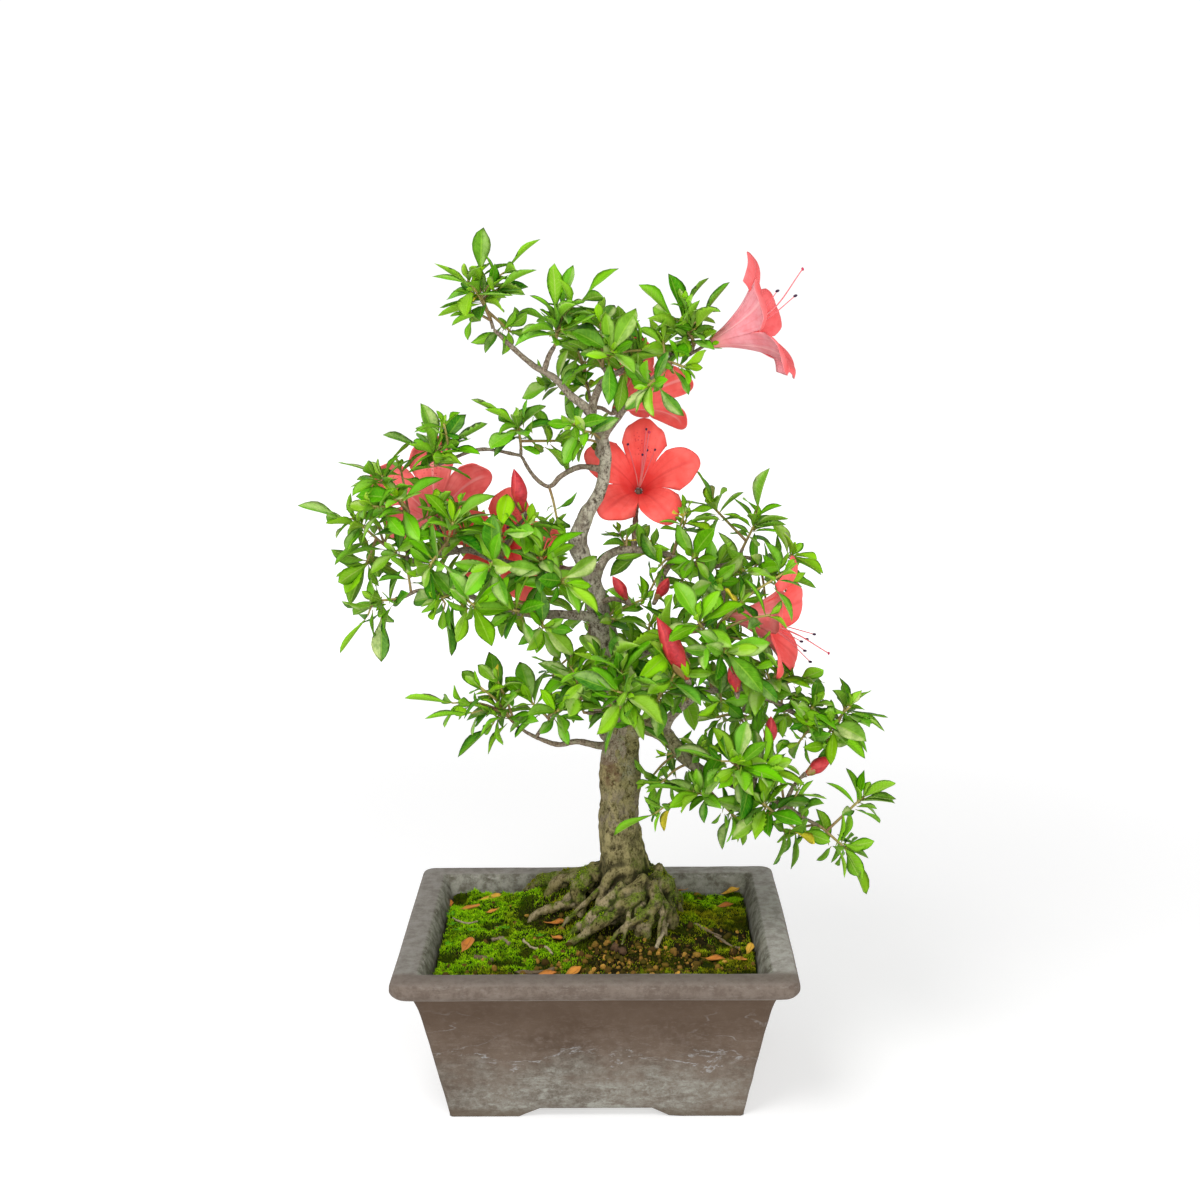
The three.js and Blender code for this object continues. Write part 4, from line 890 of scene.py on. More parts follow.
def ground(x, y):
    """The soil's own top, with the cushions that the moss makes and crumbs between them."""
    x, y = np.asarray(x, float), np.asarray(y, float)
    spot = flat(x, y)
    cushions = 1.7 * moss_cover(x, y) * cushion(x, y)
    crumbs = 0.35 * cloud(spot, 2.2, 13, 2)
    return soil_height(x, y) + cushions + crumbs - 0.2


def soil_inset(height):
    """How far in from the rim's outline the pot's inner wall stands at a height."""
    (high, upper), (low, lower) = POT_INSIDE[-2:]
    return upper + (high - height) / (high - low) * (lower - upper)


def make_soil():
    wall = soil_inset(SOIL_EDGE - 2) + GAP
    rings = [pot_loop(FLOOR_TOP + GAP, soil_inset(FLOOR_TOP + GAP) + GAP)]
    half_x, half_y = (half - wall for half in POT_HALF)
    for share in [1.0, 0.995, 0.985, *np.linspace(0.97, 0.02, 46)]:
        loop = round_loop(half_x * share, half_y * share, max(3 * share, 0.3))
        edge = 1.2 * smooth(share, 0.96, 1.0)
        rings.append(np.column_stack([loop, ground(loop[:, 0], loop[:, 1]) - edge]))
    points, faces = loft(rings)
    build = Build("moss")
    build.add(points, faces, moss=moss_cover(points[:, 0], points[:, 1]))
    build.piece("potting_soil", "mossy_soil", [soil_look()], ["soil"])


PLANTED_HALF = (POT_HALF[0] - 19.5, POT_HALF[1] - 19.5)
MOSS_TRIES, MOSS_SHOOTS = 130000, 45000
GRANULE_TRIES, GRANULES = 5200, 1500


def scattered(seed, tries, chance):
    """Spots on the soil, inside the pot's wall, kept where a random number is under chance(x, y)."""
    row = random.Random(seed)
    x, y = (np.array([row.uniform(-half, half) for _ in range(tries)]) for half in PLANTED_HALF)
    keep = np.array([row.random() for _ in range(tries)]) < chance(x, y)
    return x[keep], y[keep]


def tufts(build, x, y, z, height, fresh, dell, seed, lean=0.55, normal=(0, 0, 1)):
    """Moss shoots: slim three-sided spikes that lean every way."""
    draw = np.random.RandomState(seed)
    count = len(x)
    root = np.column_stack([x, y, z])
    axis = normal + draw.normal(0, lean, (count, 3)) * (1, 1, 0.2)
    axis /= np.linalg.norm(axis, axis=1)[:, None]
    tall = height * draw.uniform(0.55, 1.25, count)
    width = 0.30 + 0.10 * draw.uniform(size=count)
    spin = draw.uniform(0, 2 * math.pi, count)
    side = np.column_stack([np.cos(spin), np.sin(spin), np.zeros(count)])
    side -= axis * np.sum(side * axis, axis=1)[:, None]
    third = np.cross(axis, side)
    corners = [root + width[:, None] * (math.cos(turn) * side + math.sin(turn) * third)
               for turn in ring_angles(3)]
    tip = root + axis * tall[:, None]
    points = np.stack([*corners, tip], 1).reshape(-1, 3)
    start = 4 * np.arange(count)[:, None]
    faces = np.concatenate([start + row for row in ((0, 1, 3), (1, 2, 3), (2, 0, 3))])
    along = np.tile([0, 0, 0, 1], count)
    build.add(points, faces.tolist(), along=along, fresh=np.repeat(fresh, 4), dell=np.repeat(dell, 4))


def make_moss(look):
    build = Build("along", "fresh", "dell")
    x, y = (column[:MOSS_SHOOTS] for column in scattered(31, MOSS_TRIES, moss_cover))
    tall = 1.75 + 0.6 * cloud(flat(x, y), 5, 14)
    fresh = moss_fresh(x, y) + 0.35 * np.clip(cushion(x, y), -1, 1)
    tufts(build, x, y, ground(x, y) - 0.2, tall, fresh, fade(cushion(x, y), -0.7, 0.1), 32)
    build.piece("moss_carpet", "mossy_soil", [look], flat=True)


def pebble_shape(fine=True):
    """The points and faces of an icosahedron, or of a ball cut once finer."""
    t = (1 + 5 ** 0.5) / 2
    corners = [(-1, t, 0), (1, t, 0), (-1, -t, 0), (1, -t, 0), (0, -1, t), (0, 1, t),
               (0, -1, -t), (0, 1, -t), (t, 0, -1), (t, 0, 1), (-t, 0, -1), (-t, 0, 1)]
    points = [unit(vec(*corner)) for corner in corners]
    edge = 1.01 * min(np.linalg.norm(points[0] - point) for point in points[1:])
    faces = []
    for face in itertools.combinations(range(len(points)), 3):
        a, b, c = (points[corner] for corner in face)
        if max(np.linalg.norm(side) for side in (a - b, b - c, a - c)) < edge:
            outward = np.dot(np.cross(b - a, c - a), a) > 0
            faces.append(face if outward else (face[0], face[2], face[1]))
    return cut_finer(points, faces) if fine else (np.array(points), faces)


def cut_finer(points, faces):
    """A ball's triangles, each cut in four, with the new corners raised to the ball."""
    points = list(points)
    halves = {}
    finer = []
    for face in faces:
        middles = []
        for pair in zip(face, face[1:] + face[:1]):
            key = tuple(sorted(pair))
            if key not in halves:
                halves[key] = len(points)
                points.append(unit(points[pair[0]] + points[pair[1]]))
            middles.append(halves[key])
        (a, b, c), (ab, bc, ca) = face, middles
        finer.extend([(a, ab, ca), (b, bc, ab), (c, ca, bc), (ab, bc, ca)])
    return np.array(points), finer


def granule_chance(x, y):
    """Baked clay shows at the front and the right, along the edge, and wherever moss is thin."""
    front = fade(y, -34, -8) * smooth(x, -50, -20)
    right = 0.5 * smooth(x, 40, 70) * fade(y, -20, 20)
    edge = 0.9 * fade(y, -48, -36)
    most = np.maximum.reduce([front, right, edge])
    return np.clip(0.9 * most + 0.10, 0, 1) * (1 - 0.8 * moss_cover(x, y))


def make_granules():
    ball, crumb = pebble_shape(), pebble_shape(False)
    build = Build("tone", "algae")
    row = random.Random(41)
    x, y = (column[:GRANULES] for column in scattered(42, GRANULE_TRIES, granule_chance))
    for px, py in zip(x, y):
        radius = 0.5 + 1.35 * row.random() ** 2.8
        large = radius > 1.1
        shape, faces = ball if large else crumb
        stretch = vec(*(row.uniform(0.68, 1.3) for _ in range(3)))
        lumps = 1 + 0.24 * cloud(shape + px, 0.9, 43)[:, None]
        centre = vec(px, py, float(ground(px, py)) + 0.35 * radius)
        algae = 0.9 * row.random() ** 1.3
        tone = row.random() ** (1.8 if large else 3.4)
        build.add(centre + shape * lumps * radius * stretch, faces, tone=tone, algae=algae)
    build.piece("clay_granules", "mossy_soil", [granule_look()])


# x, y, degrees about Z, length, how yellow, how far it is curled
DRY_LEAVES = [
    (-67, -19, 75, 16, 0.0, 0.25),
    (-60, 48, 25, 14, 0.6, 0.12),
    (-27, -53, 15, 17, 0.0, 0.30),
    (60, -30, -20, 14, 0.0, 0.18),
    (-70, 33, 8, 12, 0.1, 0.30),
    (-82, 47, 95, 8, 0.0, 0.20),
    (-22, 9, -8, 13, 0.0, 0.20),
    (-21, -7, -55, 11, 0.0, 0.35),
    (45, 63, 4, 13, 0.2, 0.15),
    (75, 60, 35, 14, 0.7, 0.20),
    (69, 34, -6, 12, 0.0, 0.35),
    (73, -34, -35, 10, 0.0, 0.20),
    (79, -25, 70, 11, 0.75, 0.30),
    (-12, -50, 42, 14, 0.1, 0.35),
    (41, -51, 80, 6, 0.6, 0.10),
    (-57, 30, 20, 9, 0.1, 0.30),
]


def blade_rings(spot, rows, columns, thick, outline, cup=0.0, wave=0.0, phase=0.0, curl=0.0, twist=0.0):
    """A thin blade as closed rings: its upper face from edge to edge, and back along its lower face."""
    base, direction, side, up, length, width, droop = spot
    steps = np.linspace(-1, 1, columns)
    back = steps[::-1][1:-1]
    fold = 0.6 * np.abs(steps) + 0.4 * steps ** 2
    rings, across, along, upper = [], [], [], []
    for share in np.linspace(0, 1, rows + 2)[:-1]:
        half = width / 2 * outline(share)
        rib = base + direction * length * share - up * droop * length * share ** 2
        lift = cup * half * fold + wave * steps ** 2 * np.sin(phase + 9 * share + 2 * steps)
        lift = lift * min(share * 4, 1) - curl * length * share ** 3
        turn = twist * share
        wide, high = side * math.cos(turn) + up * math.sin(turn), up * math.cos(turn) - side * math.sin(turn)
        top = rib + np.outer(steps * half, wide) + np.outer(lift, high)
        depth = thick * (1 - 0.6 * np.abs(back)) * min(share * 6 + 0.5, 1)
        rings.append(np.vstack([top, top[::-1][1:-1] - np.outer(depth, high)]))
        across.extend([*steps, *back])
        along.extend([share] * (2 * columns - 2))
        upper.extend([1] * columns + [0] * (columns - 2))
    tip = base + direction * length - up * (droop + curl) * length
    points, faces = loft(rings, tip)
    values = {"across": [*across, 0], "along": [*along, 1], "upper": [*upper, 0.5]}
    return points, [face[::-1] for face in faces], values


def leaf_outline(share):
    """Half widths of a pointed leaf on a short stalk, widest past its middle."""
    past = max((share - 0.07) / 0.93, 0.0)
    return 0.08 + 0.92 * max(math.sin(math.pi * past ** 1.28), 0) ** 1.02


# As many of the dry leaves have a solid of their own.
SOLID_DRY_LEAVES = 4


def make_dry_leaves(look):
    up = vec(0, 0, 1)
    for index, (x, y, degrees, length, yellow, curl) in enumerate(DRY_LEAVES):
        direction = spoke(math.radians(degrees))
        base = vec(x, y, 0) - direction * length / 2
        spot = (base, direction, np.cross(direction, up), up, length, LEAF_WIDTH * length, -curl * 0.4)
        bends = {"cup": 0.5, "wave": 0.5, "phase": index * 1.7}
        points, faces, values = blade_rings(spot, 10, 7, 0.35, leaf_outline, **bends)
        points[:, 2] += 0.9 * (1 - 2 * np.array(values["along"])) ** 2
        clear = points[:, 2] - ground(points[:, 0], points[:, 1])
        points[:, 2] += 1.1 - np.percentile(clear, 25)
        build = Build("across", "along", "upper", "tone", "yellow")
        tone = 0.5 + 0.5 * math.sin(3.1 * index)
        build.add(points, faces, tone=tone, yellow=yellow, **values)
        replaced = [f"fallen_leaf_{index + 1}"] if index < SOLID_DRY_LEAVES else []
        build.piece(f"dry_leaf_{index + 1}", "dry_leaves", [look], replaced)


# Loose bits on the soil: [x, y] along each, radius, tone from brown to straw
LITTER = [
    ([(-55, -8), (-49, -13), (-45, -20)], 0.9, 0.45),
    ([(-38, -14), (-32, -20), (-26, -23), (-22, -29)], 0.6, 0.95),
    ([(-40, -47), (-30, -46), (-21, -43)], 1.1, 0.25),
    ([(41, 12), (37, 3), (35, -8), (31, -24)], 1.1, 1.0),
    ([(9, -23), (12, -26), (14, -31)], 1.8, 0.02),
    ([(-62, -32), (-52, -34)], 1.2, 0.2),
    ([(52, 6), (60, -2), (66, -4)], 0.7, 0.3),
    ([(62, -6), (70, -12), (74, -20)], 0.6, 0.4),
    ([(-78, 18), (-70, 12), (-64, 14)], 0.5, 0.8),
]


def make_litter():
    build = Build("tone")
    for index, (spots, radius, tone) in enumerate(LITTER):
        route = [(x, y, float(ground(x, y)) + radius * 1.1 + 0.6, radius) for x, y in spots]
        rings = sections(curve(route, 1.2), 8)
        rough = 0.28 * radius + 0.14 * radius * radius
        rings = rings + rough * cloud(rings, 1.8, 50 + index)[..., None]
        build.add(*loft(rings), tone=tone)
    build.piece("dead_twigs", "mossy_soil", [litter_look()])


# x and y of tiny weeds among the moss
SEEDLINGS = [(-78, 12), (-74, 6), (-66, 2), (-77, -14), (-52, 6), (-48, 2), (-79, 22), (-30, -6)]


def round_outline(share):
    return math.sin(math.pi * (share * 0.9 + 0.08)) ** 0.7


def make_seedlings(look):
    """Tiny round-leaved weeds, with five leaves each."""
    build = Build("across", "along", "upper", "tone")
    row = random.Random(61)
    for x, y in SEEDLINGS:
        foot = vec(x, y, float(ground(x, y)) + 0.8)
        for leaf in range(5):
            direction = unit(spoke(leaf * 2.4 + row.random(), 0.55))
            side = unit(np.cross(direction, vec(0, 0, 1)))
            spot = (foot, direction, side, np.cross(side, direction), 2.4 + row.random(), 1.7, 0.12)
            points, faces, values = blade_rings(spot, 5, 5, 0.2, round_outline)
            build.add(points, faces, tone=0.4, **values)
    build.piece("seedlings", "leaves", [look])


# ---------- the wood ----------

TRUNK = [
    (20, 14, 58, 15), (20, 14, 72, 18), (19, 14, 84, 17.5), (18, 14, 92, 15.8), (16, 14, 101, 13.8),
    (14, 13, 116, 11.8), (12, 12, 131, 10.6), (12, 12, 145, 10.2), (13, 12, 156, 10.6),
    (13, 12, 168, 10.2), (14, 12, 181, 8.9), (13, 12, 200, 8), (8, 12, 224, 7.2), (4, 12, 243, 6),
    (0, 12, 258, 5.6), (-5, 12, 274, 5), (-8, 12, 284, 4.8), (-3, 12, 298, 3.8), (4, 11, 310, 3.2),
    (7, 10, 326, 3), (5, 10, 337, 3.4),
]
LIMBS = {
    "crown_left": [(5, 10, 334, 2.6), (-1, 10, 350, 2.6), (-11, 10, 359, 2.2), (-18, 9, 367, 2),
                   (-29, 8, 374, 1.6), (-39, 6, 383, 1.4), (-48, 5, 392, 1.1)],
    "crown_middle": [(0, 12, 346, 2.2), (1, 14, 354, 2.2), (4, 16, 362, 2), (9, 18, 367, 1.8),
                     (20, 18, 372, 1.6), (31, 16, 379, 1.4), (42, 12, 378, 1.2), (49, 10, 378, 1)],
    "crown_front": [(5, 9, 336, 2), (12, 5, 346, 1.8), (19, 1, 355, 1.5), (26, 0, 363, 1.3),
                    (34, 0, 371, 1)],
    "crown_back": [(5, 11, 330, 2), (3, 24, 339, 1.7), (0, 36, 350, 1.4), (-2, 44, 358, 1)],
    "left_back": [(-4, 13, 268, 3), (-14, 28, 266, 2.4), (-30, 44, 267, 2), (-47, 54, 270, 1.5),
                  (-62, 52, 273, 1.1)],
    "upper_left": [(6, 10, 321, 2), (-6, 14, 322, 1.6), (-16, 16, 317, 1.5), (-22, 13, 312, 1.4),
                   (-30, 13, 318, 1.2), (-36, 14, 328, 1)],
    "left": [(-5, 11, 268, 3), (-14, 6, 266, 2.6), (-29, 0, 271, 2.4), (-47, -4, 277, 2.2),
             (-61, -6, 283, 1.9), (-74, -4, 281, 1.6), (-88, -2, 277, 1.3), (-99, 0, 280, 1.1)],
    "left_low": [(5, 11, 240, 3.2), (-3, 6, 246, 2.8), (-17, 2, 248, 2.6), (-29, -2, 249, 2.4),
                 (-44, -8, 253, 2.1), (-57, -12, 259, 1.8), (-69, -12, 264, 1.5), (-80, -14, 264, 1.1)],
    "right_middle": [(0, 12, 259, 3), (4, 14, 271, 2.6), (10, 18, 277, 2.4), (21, 20, 278, 2),
                     (35, 18, 277, 1.8), (50, 14, 271, 1.6), (66, 16, 270, 1.3), (75, 18, 274, 1)],
    "right_low": [(14, 11, 187, 6), (24, 0, 190, 5), (33, -8, 189, 4.4), (40, -14, 184, 4),
                  (46, -18, 178, 3.6), (52, -20, 173, 3), (65, -22, 167, 2.2), (79, -24, 161, 1.8),
                  (96, -24, 154, 1.4), (108, -23, 146, 1)],
    "right_upper": [(35, -10, 187, 3), (38, -12, 196, 2.6), (46, -12, 204, 2.2), (57, -14, 211, 2),
                    (74, -14, 213, 1.8), (92, -12, 205, 1.5), (108, -10, 194, 1.2), (115, -10, 189, 0.9)],
    "right_front": [(13, 8, 200, 3.2), (26, -8, 210, 2.8), (35, -22, 222, 2.2), (46, -30, 234, 1.8),
                    (54, -34, 240, 1.2)],
    "right_back": [(10, 13, 214, 3), (24, 30, 220, 2.4), (41, 44, 224, 2), (57, 54, 230, 1.6),
                   (67, 58, 234, 1)],
    "front": [(13, 8, 190, 2.8), (12, -10, 193, 2.3), (12, -28, 200, 1.9), (13, -39, 207, 1.1)],
    "left_bottom": [(12, 12, 175, 2.6), (2, 0, 179, 2), (-9, -6, 183, 1.7), (-18, -8, 182, 1.5),
                    (-26, -10, 185, 1.3), (-33, -12, 189, 1.1), (-38, -14, 193, 0.9)],
    "back": [(8, 13, 214, 3), (3, 34, 219, 2.4), (-3, 50, 223, 2), (-3, 61, 226, 1.2)],
    "back_low": [(12, 13, 196, 3), (9, 34, 190, 2.4), (2, 50, 184, 1.8), (-3, 59, 184, 1.1)],
}
ROOTS = [
    [(12, 20, 101, 6), (0, 29, 96, 5.4), (-13, 36, 93, 4.4), (-25, 41, 90, 3.8), (-34, 44, 86, 3.2),
     (-41, 46, 80, 2.6), (-45, 47, 72, 2)],
    [(10, 18, 106, 5.5), (-3, 20, 101, 4.8), (-9, 20, 94, 4.2), (-9, 18, 86, 3.4), (-8, 16, 78, 2.8)],
    [(-8, 19, 87, 3.2), (-14, 18, 84.5, 2.9), (-21, 17, 84, 2.7), (-28, 16, 82, 2.3), (-34, 15, 78, 1.9),
     (-37, 14, 72, 1.6)],
    [(-3, 22, 100, 4), (-12, 26, 97, 3.5), (-20, 29, 93, 3.2), (-25, 30, 88, 2.6), (-28, 31, 81, 2)],
    [(25, 3, 103, 5), (21, -4, 99, 4.4), (16, -8, 95.3, 4), (10, -9, 91, 3.5), (3, -10, 86.5, 3),
     (-4, -11, 81, 2.5), (-11, -13, 76.5, 2), (-18, -15, 71, 1.6)],
    [(26, 0, 107, 3.2), (20, -4, 103, 2.8), (12.5, -6, 99, 2.4), (7, -7, 94.5, 2.1), (-1, -7, 90, 1.9),
     (-5, -7, 84, 1.7), (-8, -8, 76, 1.4)],
    [(18, 3, 111, 3), (10, 1, 109, 3), (5.5, 2, 104, 2.8), (4, 3, 97, 2.6), (2, 1, 89, 2.4),
     (0, 0, 81, 2.2), (-2, -1, 73, 1.8)],
    [(12, 4, 97, 4.5), (5, -1, 90, 3.4), (-3, -2, 84, 2.8), (-11, -3, 79, 2.2), (-18, -4, 72, 1.8)],
    [(24, 0, 98, 3.6), (23.5, -7, 91, 3.2), (23, -9, 83, 2.8), (23, -11, 72, 2.2)],
    [(28, 2, 104, 4), (31, -5, 97.5, 3.4), (29.5, -8, 91, 3), (27, -10, 84, 2.6), (27, -12, 72, 2)],
    [(30, 11, 107, 6), (36, 10, 98.5, 5.2), (38.5, 9, 89, 4.6), (40, 8, 80, 4), (41, 7, 70, 3.4)],
    [(26, 18, 103, 5.5), (35, 24, 95, 4.6), (41, 30, 86, 3.6), (46, 35, 78, 2.6), (49, 38, 70, 2)],
    [(18, 20, 100, 5.6), (16, 31, 92, 4.6), (13, 39, 84, 3.6), (10, 45, 77, 2.6), (8, 49, 69, 1.8)],
]
# Thin roots that cling to the trunk's foot and run over the thick ones.
FINE_ROOTS = [
    [(31, -3, 99, 1.8), (27, -10, 92, 1.7), (19, -13, 87, 1.5), (11, -14, 81, 1.3), (5, -15, 75, 1.0)],
    [(14, -3, 105, 1.7), (9, -5, 100, 1.6), (2, -5, 94, 1.5), (-3, -4, 87, 1.3), (-7, -5, 78, 1.0)],
    [(-15, 35, 92, 1.8), (-17, 30, 86, 1.6), (-20, 26, 80, 1.3), (-22, 23, 74, 0.9)],
    [(-26, 40, 88, 1.6), (-29, 35, 82, 1.4), (-31, 31, 75, 0.9)],
    [(-4, 26, 99, 1.9), (-10, 23, 92, 1.7), (-17, 21, 87, 1.4), (-23, 21, 82, 1.2), (-27, 20, 75, 0.9)],
    [(33, 6, 101, 2.1), (35, 0, 93, 1.9), (36, -5, 85, 1.6), (37, -9, 76, 1.1)],
    [(37, 13, 97, 2.0), (42, 17, 89, 1.7), (45, 20, 81, 1.4), (48, 22, 74, 0.9)],
    [(22, 26, 98, 2.0), (24, 34, 89, 1.7), (25, 40, 81, 1.4), (26, 44, 74, 0.9)],
    [(4, 9, 98, 1.9), (-4, 8, 91, 1.7), (-11, 6, 85, 1.4), (-17, 5, 79, 1.1), (-21, 4, 73, 0.8)],
    [(20, -6, 97, 1.7), (17, -11, 90, 1.5), (15, -15, 83, 1.2), (13, -17, 75, 0.9)],
    [(33, -3, 95, 1.5), (34, -9, 88, 1.3), (32, -13, 81, 1.1), (32, -16, 74, 0.8)],
    [(4, 24, 104, 1.8), (-6, 30, 100, 1.6), (-16, 35, 97, 1.4), (-23, 38, 93, 1.1)],
]
# Swellings where roots and limbs leave the trunk, and old scars: x, y, z, radius
ROOT_BURLS = [(13, 6, 96, 6.5), (25, 6, 97, 6.5), (8, 14, 93, 6.5), (29, 15, 94, 7), (-2, 25, 93, 4.8)]
LIMB_BURLS = [(6, 14, 181, 4), (19, 5, 186, 6.5), (4, 9, 242, 5), (-4, 12, 266, 5.6), (5, 11, 330, 3.8),
              (0, 12, 345, 3.2), (37, -12, 187, 4.6)]


# Twigs start no thicker than this, end so thick, and have a kink only where they reach further.
TWIG_FOOT, TWIG_TIP = 1.5, 0.85
SHORT_TWIG = 10


def trunk_relief(angle, height):
    """Ribs that run up the trunk from its roots and fade above them."""
    flare = min(max((112 - height) / 34, 0), 1)
    ribs = 0.05 * np.cos(3 * angle + height / 22) + 0.035 * np.cos(5 * angle - height / 15)
    return 1 + ribs + 0.1 * flare * np.cos(5 * angle + 0.6)


def part_way(route, index, share):
    return np.asarray(route[index], float) * (1 - share) + np.asarray(route[index + 1], float) * share


def nearest_wood(point):
    """The place on the limbs that lies nearest to a point, as x, y, z and radius."""
    spots = [part_way(route, index, share) for route in (TRUNK, *LIMBS.values())
             for index in range(len(route) - 1) for share in (0, 0.5, 1)]
    return min(spots, key=lambda spot: np.linalg.norm(spot[:3] - point))


def twig_route(to):
    """From the nearest wood to a point, arched a little upwards where it is long."""
    to = np.asarray(to, float)
    wood = nearest_wood(to)
    start = np.append(wood[:3], min(wood[3] * 0.8, TWIG_FOOT))
    end = np.append(to, TWIG_TIP)
    reach = np.linalg.norm(to - wood[:3])
    if reach < SHORT_TWIG:
        return [start, end]
    middle = (start + end) / 2
    middle[2] += 0.12 * reach
    return [start, middle, end]


def skin(build, voxel):
    """The outer skin of a heap of overlapping solids, as one mesh."""
    heap = in_scene("heap", build.mesh("heap"))
    modifier = heap.modifiers.new("skin", "REMESH")
    modifier.mode = "VOXEL"
    modifier.voxel_size = voxel * MM
    relax = heap.modifiers.new("relax", "SMOOTH")
    relax.factor = 0.5
    relax.iterations = 2
    mesh = with_modifiers(heap)
    bpy.data.objects.remove(heap)
    return mesh


def thickness(points, routes):
    """The radius of the route that lies nearest to each point."""
    rows = np.concatenate(routes)
    tree = search_tree(rows[:, :3])
    return np.array([rows[tree.find(point)[1]][3] for point in points])


# How many times the skin is smoothed to find its creases
CREASE_ROUNDS = 30


def creases(mesh, points, normals):
    """How far each spot lies below the smoothed skin, in mm: over 0 in a crease, under 0 on a ridge."""
    ends = np.empty(len(mesh.edges) * 2, int)
    mesh.edges.foreach_get("vertices", ends)
    one, other = ends.reshape(-1, 2).T
    near, far = np.concatenate([one, other]), np.concatenate([other, one])
    share = 0.5 / np.maximum(np.bincount(near, minlength=len(points)), 1)
    soft = points.copy()
    for _ in range(CREASE_ROUNDS):
        around = [np.bincount(near, soft[far, axis], minlength=len(points)) * share for axis in range(3)]
        soft = 0.5 * soft + np.stack(around, 1)
    return np.sum((soft - points) * normals, axis=1)


def bark_relief(points, thick, depth):
    """How far the bark stands out: ridges, knobs and pits, and a gnarled foot."""
    ridges = cloud(points * (1, 1, 0.35), 4.2, 71, 2)
    knobs = cloud(points, 7, 73, 2)
    pits = np.minimum(cloud(points * (1, 1, 0.7), 1.9, 74), 0.15)
    foot = fade(points[:, 2], 84, 118)
    gnarl = foot * (1.5 * np.abs(cloud(points * (1, 1, 0.6), 5.5, 75, 2)) - 0.25)
    gnarl = gnarl + foot * 0.9 * np.minimum(cloud(points, 2.6, 78, 2), 0.1)
    relief = depth * np.clip(thick / 9, 0.12, 1) * (0.62 * ridges + 0.5 * knobs + 0.3 * pits)
    return relief + gnarl * np.clip(thick / 6, 0, 1)


def bark_moss(points, normals, crease, back):
    """How mossy the bark is: most at the foot, on its upper sides and in its creases."""
    height = points[:, 2]
    foot = fade(height, 84, 128) * (0.75 + 0.5 * back)
    up = smooth(normals[:, 2], -0.35, 0.75)
    moss = foot * (0.35 + 0.65 * up) * (0.7 + 0.5 * cloud(points, 7, 76))
    moss = moss + 0.25 * foot * smooth(crease, -0.5, 0.3)
    return moss + 0.18 * fade(height, 120, 185) * smooth(normals[:, 0], -0.3, 1)


def bark_painted_shade(points, normals, crease, raised):
    """How dark the bark is painted as shade, in its creases and under the roots."""
    under = fade(points[:, 2], 106, 113) * smooth(-raised - 0.7 * normals[:, 2], -0.1, 0.7)
    return np.maximum(under, fade(points[:, 2], 105, 150) * smooth(crease, -0.3, 0.35))


def bark_wear_and_highlight(points, normals, crease, thick, back):
    """How pale the bark is on slim roots and on crests: partly worn bark, partly a painted highlight where
    they face the light.
    """
    height = points[:, 2]
    slim = fade(thick, 2.8, 5) * fade(height, 97, 107) * (1 - 0.6 * back)
    worn = fade(crease, -1.1, -0.3) * fade(height, 100, 118) * (1 - 0.5 * back)
    # The painted highlight: kept where the bark faces up and towards the front.
    lit = smooth(normals[:, 2] - 0.5 * normals[:, 1], 0.1, 0.9)
    return np.maximum(slim, 0.75 * worn) * lit * smooth(cloud(points, 4, 77), -0.45, 0.35)


def bark(mesh, routes, depth):
    """Raises the bark on a mesh of wood, notes its looks, and gives its points, directions and moss."""
    points, normals = mesh_points(mesh)
    thick = thickness(points, routes)
    raised = bark_relief(points, thick, depth)
    moved = points + normals * raised[:, None]
    set_points(mesh, moved)
    crease = creases(mesh, moved, normals)
    back = smooth(points[:, 1], 14, 32) * fade(points[:, 0], -10, 8)
    moss = bark_moss(points, normals, crease, back)
    worn_crest_highlight = bark_wear_and_highlight(points, normals, crease, thick, back)
    set_value(mesh, "moss", moss)
    set_value(mesh, "thick", thick)
    set_value(mesh, "painted_crease_shade", bark_painted_shade(points, normals, crease, raised))
    set_value(mesh, "worn_crest_highlight", 0.9 * worn_crest_highlight)
    return moved, normals, moss * (1 - 0.75 * worn_crest_highlight)


# The limbs' own mesh starts above this height of the trunk.
LIMBS_FROM = 160


def make_wood(bark_material, moss_material):
    ball, faces = pebble_shape()
    trunk = Build()
    fine_trunk = curve(TRUNK, 2.5)
    trunk.add(*tube(fine_trunk, 40, trunk_relief))
    routes = [fine_trunk]
    for index, root in enumerate([*ROOTS, *FINE_ROOTS]):
        fine = curve(root, 1.6)
        sway = np.stack([cloud(fine[:, :3], 7, 80 + index + turn) for turn in (0, 40)], 1)
        fine[1:-1, :2] += 0.55 * sway[1:-1] * np.sqrt(fine[1:-1, 3:4])
        fine[1:-1, 3] *= 1 + 0.16 * cloud(fine[1:-1, :3], 4.5, 130 + index)
        trunk.add(*tube(fine, 12))
        routes.append(fine)
    for x, y, z, radius in ROOT_BURLS:
        trunk.add(vec(x, y, z) + ball * radius * (1, 1, 1.15), faces)
    mesh = skin(trunk, 0.8)
    points, normals, moss = bark(mesh, routes, 1.0)
    dress(mesh, "trunk_and_roots", [bark_material], ["wood"])
    moss_on_wood(points, normals, moss, moss_material)
    make_limbs(fine_trunk[fine_trunk[:, 2] > LIMBS_FROM], bark_material)


def make_limbs(upper_trunk, bark_material):
    ball, faces = pebble_shape()
    crown = Build()
    crown.add(*tube(upper_trunk, 24, trunk_relief))
    routes = [upper_trunk]
    for limb in LIMBS.values():
        fine = curve(limb, 2.0)
        crown.add(*tube(fine, 10))
        routes.append(fine)
    for x, y, z, radius in LIMB_BURLS:
        crown.add(vec(x, y, z) + ball * radius, faces)
    limbs = skin(crown, 0.85)
    bark(limbs, routes, 0.9)
    dress(limbs, "limbs", [bark_material])


